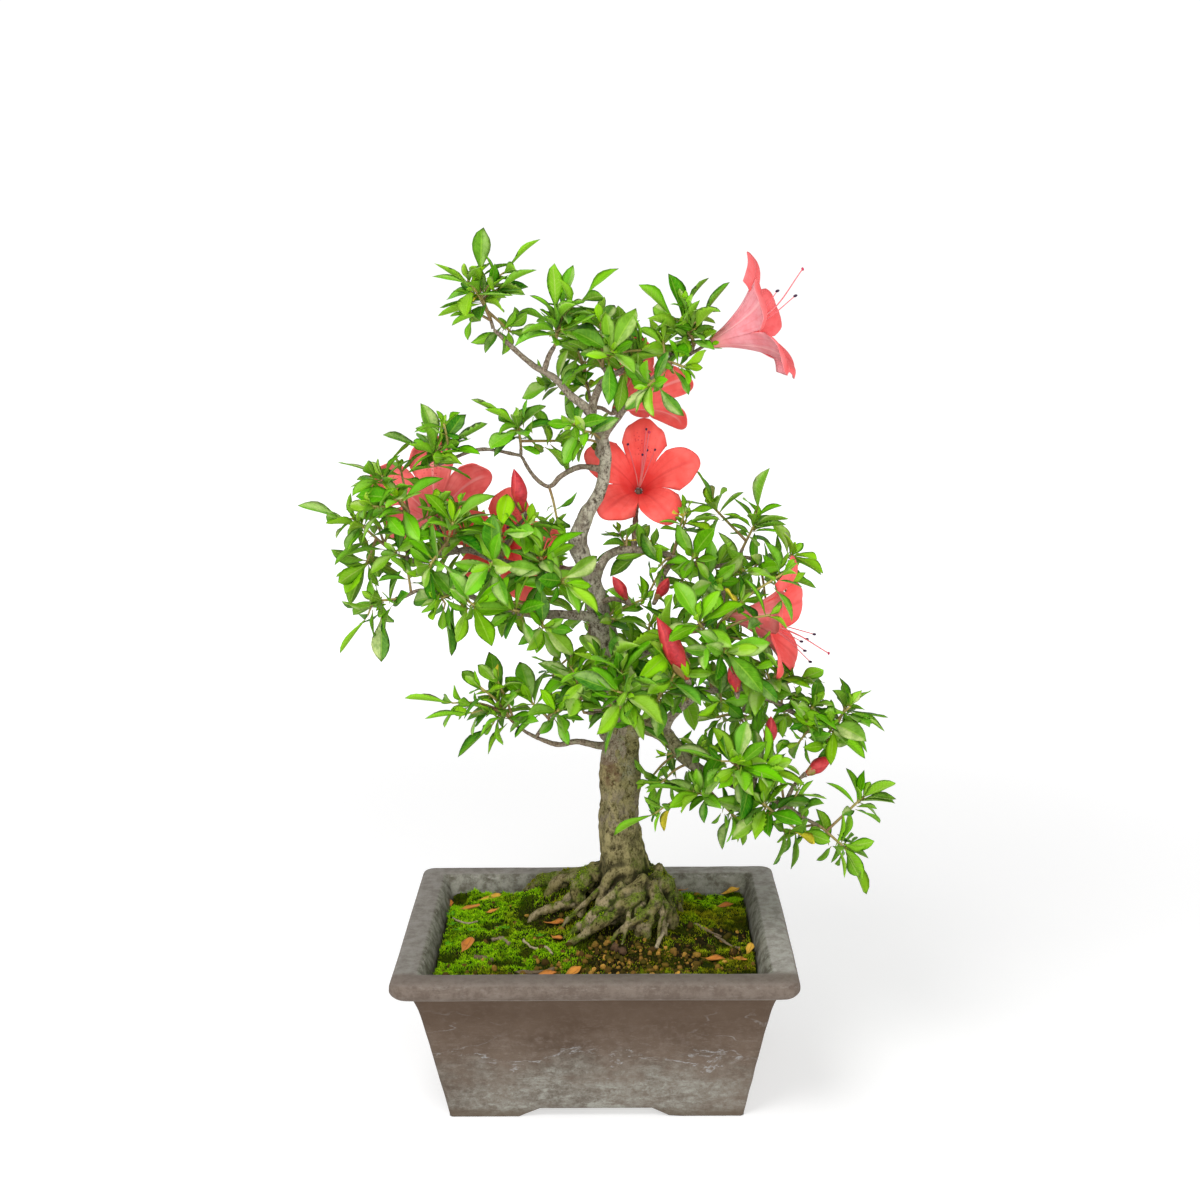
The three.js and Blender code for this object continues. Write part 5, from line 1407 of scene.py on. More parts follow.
def moss_on_wood(points, normals, moss, material):
    """Short moss on the roots and the foot of the trunk."""
    draw = np.random.RandomState(90)
    patches = smooth(cloud(points, 8, 91, 2), -0.1, 0.6)
    foot = (points[:, 2] > SOIL_EDGE) * (points[:, 2] < 116)
    chance = smooth(moss, 0.3, 0.8) * patches * 0.8 * foot
    keep = np.flatnonzero(draw.uniform(size=len(points)) < chance)
    spots, upwards = points[keep], normals[keep]
    build = Build("along", "fresh", "dell")
    fresh = np.clip(0.3 + 0.5 * cloud(spots, 9, 92), 0, 1)
    tufts(build, *(spots - 0.15 * upwards).T, 1.2, fresh, np.zeros(len(spots)), 93, lean=0.45, normal=upwards)
    build.piece("moss_on_roots", "mossy_soil", [material], flat=True)


# ---------- blooms and buds ----------

# name, where the flower leaves its stalk, the way it opens, its roll in degrees, its size
BLOOMS = [
    ("bloom_crown", (60, 8, 384), (0.92, -0.15, 0.36), 10, 1.08),
    ("bloom_crown_back", (12, 40, 348), (0.62, 0.62, 0.45), 30, 0.94),
    ("bloom_centre", (24, 51, 304), (0.03, -0.88, 0.44), 12, 0.96),
    ("bloom_left", (-80, 10, 296), (-0.16, 0.86, 0.3), 20, 1.02),
    ("bloom_left_inner", (-45, 48, 279), (-0.05, -0.95, 0.05), 8, 0.94),
    ("bloom_right", (70, 0, 247), (0.93, -0.3, -0.02), 12, 1),
]
LOBES = 5
# share of the way, distance from the flower's middle line, distance along it
COROLLA = [(0, 2.2, 0), (0.2, 5, 8), (0.42, 11, 18.5), (0.6, 18, 26.5), (0.8, 26, 31.5), (1, 33, 31)]
# share of the way, half the lobe's width in degrees
LOBE_WIDTH = [(0, 36.6), (0.42, 36.6), (0.5, 35.6), (0.6, 33), (0.7, 30), (0.85, 26), (1, 20)]
TUBE_SHARE = 0.42
PETAL_THICK = 0.5
# Where each stamen's head ends, and last the pistil's: across, up, and out along the flower's face
THREADS = [(-7, 13, 40), (3, 21, 41), (7.5, 10.5, 38), (0.5, 6, 43), (3.5, 11, 36), (4, 16, 50)]
# Only the lower ones show at the crown.
CROWN_THREADS = THREADS[3:]
# How pink and pale each flower is, and the rest of them
PALENESS = {"bloom_crown": 1.0, "bloom_left": 0.3, "bloom_right": 0.4}
USUAL_PALENESS = 0.15
# name, foot, point, half its width
BUDS = [
    ("bud_front", (46, -45, 226), (31, -55, 259), 5),
    ("bud_middle", (17, -9, 258), (10, -15, 271), 3),
    ("bud_middle_right", (32, -4, 257), (38, -10, 269), 3),
    ("bud_right_low", (87, -27, 186), (88, -31, 203), 3.4),
    ("bud_right_tip", (107, -22, 170), (120, -20, 178), 3.8),
    ("bud_right", (70, -43, 219), (67, -47, 235), 3.6),
    ("bud_left", (-34, -12, 303), (-38, -14, 325), 4),
]
# share of the way up a bud, share of its width
BUD_SHAPE = [(0, 0.35), (0.18, 0.62), (0.45, 1), (0.75, 0.72), (1, 0.02)]
BUD_SHARES = np.linspace(0, 0.985, 22)
BUD_SIDES = 42


def corolla_at(at):
    """The flower's radius and height at a share of the way from its base to the lobes' ends."""
    shares, radii, heights = curve([(*row, 0) for row in COROLLA], 1.5).T[:3]
    return np.interp(at, shares, radii), np.interp(at, shares, heights)


def facing(at, face, roll, size):
    """Turns points built about +Z so that +Z faces a direction, and puts their base at a point."""
    direction = unit(vec(*face))
    sideways = unit(np.cross(vec(0, 0, 1), direction))
    basis = np.column_stack([sideways, np.cross(direction, sideways), direction])
    cos, sin = math.cos(math.radians(roll)), math.sin(math.radians(roll))
    turn = basis @ np.array([[cos, -sin, 0], [sin, cos, 0], [0, 0, 1]]) * size
    return lambda points: np.asarray(points) @ turn.T + vec(*at)


def sheet(grid, thick):
    """A thin solid about a grid of points: an outer face, an inner face and a band round their edges."""
    normals = np.cross(np.gradient(grid, axis=1), np.gradient(grid, axis=0))
    normals /= np.linalg.norm(normals, axis=2)[..., None]
    rows, columns = grid.shape[:2]
    outer = np.arange(rows * columns).reshape(rows, columns)
    inner = outer + rows * columns
    faces = []

    def band(first, second):
        faces.extend(zip(first[:-1], first[1:], second[1:], second[:-1]))

    for row in range(rows - 1):
        band(outer[row], outer[row + 1])
        band(inner[row + 1], inner[row])
    band(inner[0], outer[0])
    band(outer[-1], inner[-1])
    band(outer[:, 0], inner[:, 0])
    band(inner[:, -1], outer[:, -1])
    points = np.concatenate([grid + normals * thick / 2, grid - normals * thick / 2]).reshape(-1, 3)
    return points, faces, normals


def lobe_points(lobe, seed, columns=21, rows=22):
    """One lobe with its share of the tube, ruffled at its edges and creased along its middle."""
    row = random.Random(seed * 10 + lobe)
    tilt, phase, twist = row.uniform(-1.8, 1.8), row.uniform(0, 6), row.uniform(-1.2, 1.2)
    steps = np.sin(np.linspace(-1, 1, columns) * math.pi / 2) * 0.35 + np.linspace(-1, 1, columns) * 0.65
    shares = np.linspace(0, 1, rows)[:, None]
    past = np.clip((shares - TUBE_SHARE) / (1 - TUBE_SHARE), 0, 1)
    reach = past * (1 - 0.62 * np.abs(steps) ** 2.2)
    at = np.minimum(shares, TUBE_SHARE) + (1 - TUBE_SHARE) * reach
    radius, height = corolla_at(at)
    angle = math.radians(lobe * 360 / LOBES) + np.radians(np.interp(at, *zip(*LOBE_WIDTH))) * steps
    radius = radius + 0.12 * steps
    grid = np.stack([radius * np.cos(angle), radius * np.sin(angle), height], -1)
    edge = np.abs(steps) ** 1.7
    ruffle = past * edge * 1.5 * np.sin(phase + 8.5 * shares + 1.4 * steps)
    crease = 0.45 * past * np.exp(-(steps / 0.15) ** 2)
    furl = 1.5 * past ** 3 * edge + 1.2 * past ** 4
    lift = ruffle + crease + furl - tilt * past ** 2 + twist * past ** 2 * steps
    points, faces, _ = sheet(grid + sheet(grid, 0)[2] * lift[..., None], PETAL_THICK)
    across = np.tile((steps + 0 * shares).ravel(), 2)
    inside = np.repeat([0.0, 1.0], rows * columns)
    return points, faces, {"across": across, "along": np.tile(at.ravel(), 2), "upper": inside}


def thread(tip, radius):
    """The route of a stamen or the pistil, which lies low in the tube and rises to its tip."""
    x, y, z = tip
    foot, bend = (0.06 * x, 0.06 * y, 6, radius), (0.36 * x, 0.28 * y - 1, 0.6 * z, radius)
    return curve([foot, bend, (x, y, z, radius * 0.8)], 2.0)


def add_lobes(build, place, seed, pale):
    """Five lobes round the tube, the uppermost with the dots of its guide."""
    rise = [place(spoke(angle))[2] for angle in ring_angles(LOBES)]
    for lobe in range(LOBES):
        points, faces, values = lobe_points(lobe, seed)
        guide = 1.0 if lobe == int(np.argmax(rise)) else 0.08
        build.add(place(points), faces, guide=guide, pale=pale, **values)


def add_threads(build, place, threads, fall):
    """Stamens and then the pistil, each with a small head."""
    ball, ball_faces = pebble_shape()
    for order, (x, y, z) in enumerate(threads):
        pistil = float(order == len(threads) - 1)
        route = thread((x, fall * y, z), 0.36 if pistil else 0.3)
        points, faces = tube(route, 6)
        build.add(place(points), faces, slot=1, along=np.repeat(np.linspace(0, 1, len(route)), 6))
        knob = (0.85, 0.85, 0.6) if pistil else (0.66, 0.66, 1.05)
        build.add(place(route[-1, :3] + ball * knob), ball_faces, slot=1, knob=1, head=pistil)


def small_scale(angle, base, lean, length, width, droop, rows):
    """A pointed scale that stands up from a stalk, at an angle about it and leaning out."""
    out = spoke(angle)
    direction = unit(out * lean + vec(0, 0, 1))
    side = np.cross(direction, out)
    foot = out * base[0] + vec(0, 0, base[1])
    spot = (foot, direction, side, unit(np.cross(side, direction)), length, width, droop)
    return blade_rings(spot, rows, 5, 0.3, leaf_outline)


def add_calyx(build, place):
    """The small green cup under a flower, with five pointed sepals."""
    for sepal in range(LOBES):
        angle = 2 * math.pi * (sepal + 0.5) / LOBES
        points, faces, values = small_scale(angle, (2.4, -0.8), 0.36, 5.2, 2.3, -0.05, 5)
        build.add(place(points), faces, slot=2, tone=0.6, young=0.3, **values)


def make_blooms(petal_material, thread_material, green_material):
    for index, (name, at, face, roll, size) in enumerate(BLOOMS):
        place = facing(at, face, roll, size)
        build = Build("across", "along", "upper", "guide", "pale", "knob", "head", "tone", "young")
        add_lobes(build, place, index + 1, PALENESS.get(name, USUAL_PALENESS))
        threads = CROWN_THREADS if name == "bloom_crown" else THREADS
        add_threads(build, facing(at, face, 0, size), threads, -1 if name == "bloom_right" else 1)
        add_calyx(build, place)
        build.piece(name + "_petals", "petals", [petal_material, thread_material, green_material], [name])


def bud_rings(length, wide, start):
    """Rings up a bud of three petals rolled round each other, and where each point is on its petal."""
    profile = curve([(*row, 0, 0) for row in BUD_SHAPE], 0.04)
    angles = ring_angles(BUD_SIDES)
    rings, folds = [], []
    for share in BUD_SHARES:
        turn = (angles - 1.9 * share + start) * 3 / (2 * math.pi)
        fold = turn - np.floor(turn)
        radius = wide * np.interp(share, profile[:, 0], profile[:, 1]) * (0.86 + 0.16 * fold ** 0.7)
        bow = 0.6 * math.sin(math.pi * share)
        height = np.full(BUD_SIDES, share * length)
        rings.append(np.column_stack([radius * np.cos(angles) + bow, radius * np.sin(angles), height]))
        folds.append(fold)
    return rings, np.append(np.concatenate(folds), 0)


def make_buds(material, green_material):
    for index, (name, foot, point, wide) in enumerate(BUDS):
        way = vec(*point) - vec(*foot)
        length = np.linalg.norm(way)
        place = facing(foot, way, 0, 1)
        rings, fold = bud_rings(length, wide, index)
        points, faces = loft(rings, vec(0.1, 0, length))
        build = Build("across", "along", "upper", "fold", "scale", "tone", "young")
        build.add(place(points), faces, fold=fold, along=np.append(np.repeat(BUD_SHARES, BUD_SIDES), 1))
        for scale in range(4):
            base = (0.3 * wide, -0.3)
            shape = small_scale(scale * 1.7 + index, base, 0.34, length * 0.36, wide * 1.2, 0.10, 6)
            slot = 0 if scale % 2 else 1
            build.add(place(shape[0]), shape[1], slot=slot, scale=1, tone=0.4, young=0.5, **shape[2])
        build.piece(name + "_petals", "buds", [material, green_material], [name])


# ---------- leafy sprays ----------

# name, where its green stems leave their twig, shoots (x, y, z, leaves, leaf length), tips of longer leaves
SPRAYS = [
    ("crown_left", (-49, 5, 396), [(-54, 3, 410, 3, 20), (-40, 16, 390, 3, 15)],
     [(-53, 8, 442), (-74, -4, 426), (-27, 6, 438), (-27, -8, 424), (-74, -8, 399), (-53, 4, 381)]),
    ("crown_whorl", (-18, 6, 383), [(-17, 6, 395, 3, 20)],
     [(-17, 4, 424), (-9, 16, 423), (11, 10, 424), (-33, -10, 394), (3, -14, 400)]),
    ("crown_middle", (6, 16, 372),
     [(1, 20, 381, 3, 20), (16, 30, 382, 3, 20), (11, -6, 381, 3, 20), (25, 4, 381, 2, 19)], [(23, 26, 396)]),
    ("crown_right", (51, 10, 382), [(47, 8, 391, 2, 18)],
     [(41, 14, 419), (25, 4, 414), (67, 2, 415), (60, -14, 405), (29, -6, 400)]),
    ("crown_right_low", (37, 0, 374), [(46, -4, 373, 3, 14), (28, -16, 365, 3, 18)], [(52, -6, 368)]),
    ("crown_back", (-3, 47, 362), [(-4, 62, 372, 3, 21), (-9, 42, 385, 3, 20), (-21, 46, 361, 3, 20)], []),
    ("upper_left", (-36, 14, 331), [(-37, 12, 344, 3, 19), (-19, 26, 334, 3, 20)],
     [(-59, 8, 359), (-24, 18, 354), (-50, -8, 337)]),
    ("left_high", (-76, -4, 326), [(-77, -4, 334, 3, 21)],
     [(-82, 0, 357), (-52, 4, 346), (-101, -14, 344), (-65, 8, 352)]),
    ("left_middle", (-91, -10, 302), [(-94, -22, 312, 3, 21), (-104, -8, 321, 2, 21)],
     [(-125, -6, 330), (-118, -18, 315)]),
    ("left_tip", (-105, 0, 285), [(-117, -4, 297, 2, 20), (-116, 6, 273, 3, 21)],
     [(-146, -8, 308), (-122, -18, 287), (-131, 4, 268), (-125, -8, 262)]),
    ("left_front", (-71, -20, 288), [(-67, -30, 301, 3, 21), (-79, -32, 280, 3, 21)], []),
    ("left_inner", (-44, -20, 283), [(-44, -28, 297, 3, 20), (-49, -36, 281, 3, 20)], []),
    ("left_inner_right", (-22, -14, 275), [(-25, -26, 283, 3, 21), (-13, -32, 271, 3, 20)], []),
    ("left_hanging", (-94, -14, 261), [(-107, -13, 259, 2, 17)],
     [(-128, -18, 234), (-106, -20, 229), (-123, 2, 250)]),
    ("left_low_front", (-65, -20, 265), [(-74, -28, 263, 3, 20), (-57, -36, 261, 3, 20)], [(-68, -28, 234)]),
    ("left_low_right", (-30, -10, 252), [(-24, -24, 247, 3, 20), (-39, -28, 257, 3, 20)], []),
    ("left_back", (-66, 53, 275), [(-80, 56, 275, 3, 22), (-64, 68, 281, 3, 22)], []),
    ("left_back_low", (-35, 34, 249), [(-46, 46, 246, 3, 21), (-27, 60, 248, 3, 21)], []),
    ("low_left", (-40, -14, 195), [(-48, -16, 204, 3, 21)],
     [(-51, -10, 232), (-95, -16, 212), (-84, -28, 205), (-69, -24, 181)]),
    ("low_left_middle", (-23, -14, 195), [(-31, -18, 207, 3, 20), (-17, -29, 206, 3, 20)], [(-37, -4, 226)]),
    ("low_left_upper", (-3, -16, 201), [(-8, -22, 216, 3, 23)], [(-18, -16, 249)]),
    ("front", (13, -42, 210), [(14, -50, 231, 3, 24), (4, -38, 233, 3, 23), (16, -60, 222, 3, 27)],
     [(4, -58, 193), (29, -52, 247)]),
    ("front_right", (31, -26, 210), [(34, -42, 220, 3, 23), (40, -46, 229, 3, 23)], []),
    ("right_top", (77, 20, 278), [(83, 18, 291, 3, 19), (62, 28, 299, 3, 20)],
     [(87, 14, 322), (56, 30, 319), (98, 10, 294)]),
    ("right_middle", (55, 8, 274), [(50, -8, 279, 3, 20), (60, -14, 267, 3, 20)], [(56, -6, 292)]),
    ("right_tip", (86, 20, 270), [(94, 20, 264, 3, 20), (102, 14, 276, 3, 20)],
     [(118, 10, 267), (122, 14, 250)]),
    ("right_front", (56, -36, 243),
     [(51, -48, 255, 3, 23), (64, -54, 241, 3, 23), (36, -31, 244, 3, 22)], []),
    ("right_upper", (88, -14, 211), [(87, -20, 222, 3, 22), (106, -8, 216, 3, 22)], []),
    ("right_upper_tip", (119, -10, 187), [(128, -8, 201, 3, 20), (120, -22, 196, 2, 21)],
     [(141, -4, 210), (149, -14, 197)]),
    ("right_low", (69, -26, 171), [(71, -42, 181, 3, 23), (84, -38, 178, 3, 21)],
     [(75, -38, 203), (41, -46, 193)]),
    ("right_low_front", (59, -26, 165), [(53, -36, 165, 3, 20), (71, -30, 150, 2, 14)],
     [(26, -34, 171), (8, -32, 145), (64, -30, 133), (77, -26, 135)]),
    ("right_low_middle", (93, -26, 152), [(84, -38, 160, 3, 21), (104, -24, 140, 3, 19)], []),
    ("right_low_tip", (113, -22, 143), [(128, -18, 129, 3, 18), (137, -14, 155, 3, 18)],
     [(141, -16, 124), (140, -20, 105), (153, -16, 155), (137, -12, 169)]),
    ("right_back", (70, 60, 236), [(79, 70, 241, 3, 21), (60, 76, 242, 3, 21)], []),
    ("right_back_low", (76, 30, 186), [(76, 46, 190, 3, 21), (95, 42, 178, 3, 21)], []),
    ("right_back_middle", (35, 56, 204), [(31, 68, 210, 3, 21), (47, 72, 189, 3, 21)], []),
    ("back", (-3, 64, 227), [(-9, 78, 233, 3, 21), (7, 80, 231, 3, 21)], []),
    ("back_low", (-5, 62, 185), [(-12, 76, 188, 3, 21), (4, 80, 188, 3, 21)], []),
]
SHOOT_RADIUS = 0.8
GOLDEN_ANGLE = 137.5
LEAF_SPACING = 1.3
LEAF_WIDTH = 0.42
WIDEST_LEAF = 10.6
LONGEST_LEAF = 27
# The leaf at the end of a longer reach, the longest small leaf, and how much slimmer the small ones are
LAST_LEAF = 24
LONGEST_SMALL_LEAF = 21
SLIM_LEAF = 0.88
# degrees about the shoot, degrees up, share of the length: the ways that a leaf may bend clear
LEAF_BENDS = [
    (0, 0, 1), (0, 14, 1), (14, 0, 1), (-14, 0, 1), (0, -14, 1), (24, 14, 0.95), (-24, 14, 0.95),
    (0, 28, 0.9), (36, -8, 0.85), (-36, -8, 0.85), (0, -30, 0.8), (52, 20, 0.75), (-52, 20, 0.75),
    (0, 0, 0.6),
]


def leaf_spot(base, direction, upwards, length, width, droop):
    side = unit(np.cross(direction, upwards))
    return base, direction, side, np.cross(side, direction), length, width, droop


def spot_tip(spot):
    base, direction, side, up, length, width, droop = spot
    return base + direction * length - up * droop * length


def root_on_stem(route, order):
    top = route[-1][:3]
    return top + unit(route[-2][:3] - top) * order * LEAF_SPACING


def stem_routes(foot, shoots):
    """The routes of a spray's green stems: the first in line with its twig, the others off it."""
    before, end = (row[:3] for row in twig_route(foot)[-2:])
    onward = unit(end - before)
    start = end + onward * (GAP + 0.1)
    fork = start + onward * 1.6
    first = vec(*shoots[0][:3])
    routes = []
    for index, shoot in enumerate(shoots):
        begin = fork if index == 0 else fork + (first - fork) * 0.22 * index
        route = [np.append(begin, SHOOT_RADIUS), vec(*shoot[:3], SHOOT_RADIUS)]
        routes.append([np.append(start - onward * 1.6, SHOOT_RADIUS), *route] if index == 0 else route)
    return routes


def shoot_axes(route):
    """A shoot's own direction, between its stem's and straight up, and two directions across it."""
    down = unit(route[-2][:3] - route[-1][:3])
    axis = unit(vec(0, 0, 0.5) - down)
    sideways = unit(np.cross(vec(0.3, 1, 0), axis))
    return axis, sideways, np.cross(axis, sideways)


def round_leaf(axes, root, turn, lean, length, droop):
    """A leaf that leaves its shoot at some turn about it and some lean away from it, in degrees."""
    axis, sideways, forwards = axes
    turn, lean = math.radians(turn), math.radians(lean)
    outwards = sideways * math.cos(turn) + forwards * math.sin(turn)
    direction = outwards * math.sin(lean) + axis * math.cos(lean)
    upwards = axis * math.sin(lean) - outwards * math.cos(lean)
    return leaf_spot(root + direction * 0.1, direction, upwards, length, length * LEAF_WIDTH, droop)


def whorl_places(route, shoot, seed):
    """The leaves round a shoot's top, as the solid tree has them, before any is bent."""
    count, leaf_length = shoot[3], shoot[4]
    for index in range(count):
        draw = seeded(seed * 50 + index)
        share = (index + 0.5) / count
        turn = seed * 77 + index * GOLDEN_ANGLE + 24 * (draw() - 0.5)
        lean = 84 - 48 * share + 16 * (draw() - 0.5)
        length = leaf_length * (0.9 + 0.3 * draw())
        yield root_on_stem(route, count - index - 0.3), turn, lean, length, 0.08 + 0.16 * draw()


def tip_leaf(root, tip, bend):
    """A leaf from its root on a stem to a point of its own."""
    turn_by, raise_by, shorten = bend
    direction = vec(*tip) - root
    reach = np.linalg.norm(direction)
    direction = unit(turned(direction, vec(0, 0, 1), 0.4 * turn_by))
    level = unit(vec(-direction[1], direction[0], 0))
    if np.dot(level, level) < 0.5:
        level = vec(1, 0, 0)
    direction = turned(direction, level, -0.4 * raise_by)
    upwards = unit(np.cross(direction, level))
    upwards = upwards * (np.sign(upwards[2]) or 1)
    length = reach * shorten
    return leaf_spot(root, direction, upwards, length, min(length * LEAF_WIDTH, WIDEST_LEAF), 0.04)


def node_points(name):
    """A search tree over the corners of a solid, in the tree's own millimetres."""
    return search_tree(mesh_points(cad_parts[name].data)[0])


# Two corners nearer than this, in millimetres, are the same corner.
SAME_CORNER = 0.06


def bent_as_built(shape, corners):
    """The bend whose leaf tip is a corner of the spray's solid, or nothing where the leaf was left out."""
    for bend in LEAF_BENDS:
        spot = shape(bend)
        if corners.find(spot_tip(spot))[2] < SAME_CORNER:
            return spot
    return None


def solid_leaves(spray, index, routes, corners):
    """The leaves that the spray's solid has: each spot, with how high on its shoot it sits."""
    name, foot, shoots, tips = spray
    spots = []
    for order, tip in enumerate(tips):
        near = min(routes, key=lambda route: np.linalg.norm(route[-1][:3] - vec(*tip)))
        root = root_on_stem(near, order + 0.2)
        spots.append((bent_as_built(lambda bend: tip_leaf(root, tip, bend), corners), 0.3))
    for number, shoot in enumerate(shoots):
        axes = shoot_axes(routes[number])
        for root, turn, lean, length, droop in whorl_places(routes[number], shoot, index * 10 + 3 * number):
            def bent(bend):
                return round_leaf(axes, root, turn + bend[0], lean - bend[1], length * bend[2], droop)
            spots.append((bent_as_built(bent, corners), 1 - lean / 90))
    return [(spot, height) for spot, height in spots if spot is not None]


BLOOM_HEARTS = [(vec(*at) + unit(vec(*face)) * 30 * size, 26 * size) for _, at, face, _, size in BLOOMS]


def clear_of_blooms(spot):
    """True where a leaf doesn't reach into a flower."""
    base, direction, length = spot[0], spot[1], spot[4]
    for share in (0.3, 0.65, 1):
        point = base + direction * length * share
        if any(np.linalg.norm(point - heart) < reach for heart, reach in BLOOM_HEARTS):
            return False
    return True


def whorl(axes, top, length, count, row):
    """Leaves round a shoot: wide and large below, small and upright at its top."""
    leaves = []
    first = row.uniform(0, 360)
    for order in range(count):
        share = order / count
        lean = 98 - 62 * share + row.uniform(-10, 10)
        size = length * row.uniform(0.66, 1.2) * (1 - 0.2 * share)
        root = top - axes[0] * (count - order) * LEAF_SPACING * row.uniform(0.8, 1.2)
        turn = first + order * GOLDEN_ANGLE + row.uniform(-16, 16)
        spot = round_leaf(axes, root, turn, lean, size, row.uniform(0.04, 0.26))
        leaves.append(((*spot[:5], spot[5] * SLIM_LEAF, spot[6]), 0.75 * share))
    for order in range(2):
        size = length * row.uniform(0.3, 0.6)
        turn = order * 120 + first + row.uniform(-30, 30)
        spot = round_leaf(axes, top - axes[0] * 0.4, turn, row.uniform(10, 34), size, -0.05)
        leaves.append((spot, 1.0))
    return leaves


def far_leaf(build, spot, row):
    """A leaf far from its stem: a thin shoot most of the way, then the leaf and a few round it."""
    base, up, tip = spot[0], spot[3], spot_tip(spot)
    reach = np.linalg.norm(tip - base)
    way = unit(tip - base)
    end = tip - way * LAST_LEAF
    middle = (base + end) / 2 + up * 0.04 * reach
    add_stem(build, [np.append(base, 0.6), np.append(middle, 0.55), np.append(end, 0.5)], 0.6, 0.42)
    side = unit(np.cross(way, up))
    axes = (way, side, np.cross(way, side))
    leaves = [(leaf_spot(end, way, up, LAST_LEAF, 9.4, 0.02), 0.3)]
    for order in range(5):
        size = row.uniform(11, 18)
        root = end - way * (1 + order * 2.6)
        turn = order * GOLDEN_ANGLE + row.uniform(-20, 20)
        leaves.append((round_leaf(axes, root, turn, row.uniform(38, 66), size, 0.1), 0.4))
    return leaves


def add_leaf(build, spot, height, row, rows=7, columns=5):
    """One leaf of a spray, with its colours."""
    tone = row.random() ** 1.5
    young = float(np.clip(0.42 * height + 0.5 * row.random() ** 3 - 0.14, 0, 0.75))
    yellow = 0.9 if row.random() < 0.006 and rows < 9 else 0.0
    bends = {"cup": row.uniform(0.1, 0.75), "wave": row.uniform(0.1, 0.55), "phase": row.uniform(0, 6),
             "curl": row.uniform(-0.04, 0.13), "twist": row.uniform(-0.8, 0.8)}
    points, faces, values = blade_rings(spot, rows, columns, 0.34, leaf_outline, **bends)
    sheen = row.random() ** 1.6
    build.add(points, faces, tone=tone, young=young, yellow=yellow, sheen=sheen, **values)


def add_stem(build, route, foot=0.8, top=0.62):
    """A green stem along a route, from one radius to another."""
    fine = curve(route, 2.4)
    fine[:, 3] = np.linspace(foot, top, len(fine))
    points, faces = tube(fine, 7)
    build.add(points, faces, slot=1, along=np.repeat(np.linspace(0, 1, len(fine)), 7))


def leaf_build():
    return Build("across", "along", "upper", "tone", "young", "yellow", "sheen")


def make_sprays(leaf_material, stem_material):
    for index, spray in enumerate(SPRAYS):
        name, foot, shoots = spray[:3]
        node = "spray_" + name
        routes = stem_routes(foot, shoots)
        build = leaf_build()
        for route in routes:
            add_stem(build, route)
        row = random.Random(500 + index)
        small = []
        for spot, height in solid_leaves(spray, index, routes, node_points(node)):
            if spot[4] > LONGEST_LEAF:
                small += far_leaf(build, spot, row)
            else:
                add_leaf(build, spot, height, row, 9, 7)
        for route, shoot in zip(routes, shoots):
            small += whorl(shoot_axes(route), route[-1][:3], min(shoot[4], LONGEST_SMALL_LEAF), 7, row)
        for spot, height in small:
            if clear_of_blooms(spot):
                add_leaf(build, spot, height, row)
        build.piece("leaves_" + name, "leaves", [leaf_material, stem_material], [node])


# Short side shoots that fill the crown: x, y, z of each top, limb by limb. A separate program found most of
# these places, where the crown was still too thin, and the rest were set by hand.
SIDE_SHOOTS = {
    "right_upper": [(102, -17, 210), (65, 30, 185), (104, -11, 183), (81, 24, 183), (112, -16, 206),
        (96, -11, 211), (60, -14, 218), (118, -19, 184), (97, -3, 197), (92, -17, 179), (64, -24, 208),
        (93, -15, 223), (81, 31, 178), (107, -20, 197), (84, -8, 207), (129, -18, 204), (64, 23, 187),
        (110, -19, 204), (72, -42, 263), (86, -43, 257), (92, -42, 277), (80, -40, 242), (61, -40, 248),
        (78, -38, 229), (54, -20, 230), (44, -22, 212)],
    "left_low": [(26, 1, 256), (11, -1, 246), (-20, -4, 222), (8, 12, 240), (11, 9, 249), (-67, -6, 261)],
    "upper_left": [(-21, 16, 291), (-66, -8, 307), (-18, 9, 296), (-72, -11, 347), (-96, 4, 323)],
    "right_low": [(34, -22, 166), (103, -26, 164), (99, -21, 151), (37, -17, 179), (54, -20, 184),
        (28, -6, 162), (85, -26, 158), (103, -14, 136), (59, -10, 175)],
    "right_middle": [(97, 8, 261), (77, 7, 269), (34, 6, 272), (14, 30, 285), (48, 18, 294), (89, 17, 252),
        (61, 21, 270), (45, 20, 260), (75, 26, 259), (31, 22, 279), (28, 15, 255), (82, 12, 269),
        (47, 9, 299), (18, 24, 288), (24, 26, 279)],
    "left": [(-98, -13, 284), (-75, -18, 306), (-112, 11, 299), (-64, 2, 293), (-31, -24, 299),
        (-92, -13, 274), (-107, -9, 321), (-30, 1, 281), (-104, 5, 290), (-83, 1, 299), (-85, 5, 275),
        (-33, -8, 271), (-54, -1, 269), (-107, -22, 308), (-63, -8, 294), (-25, -7, 282), (-32, -17, 298)],
    "right_front": [(31, -30, 214), (9, -24, 210), (23, -30, 201), (40, -21, 231), (59, -36, 242),
        (48, -25, 224), (41, -18, 228), (12, 6, 206)],
    "left_bottom": [(-56, -25, 217), (-48, -20, 219)],
    "crown_back": [(-5, 49, 361), (-4, 43, 362)],
    "right_back": [(81, 56, 232), (29, 29, 237), (33, 42, 222), (19, 39, 224), (32, 37, 231)],
    "crown_middle": [(-9, -1, 345), (5, 24, 394), (36, 5, 385), (18, 22, 369), (47, 11, 403), (5, 5, 394),
        (35, 23, 382)],
    "crown_left": [(-62, 12, 400), (-59, -6, 416), (-6, 11, 336), (-11, 10, 405)],
    "crown_front": [(-3, -4, 342)],
    "back": [(-2, 29, 223), (-21, 39, 210)],
}


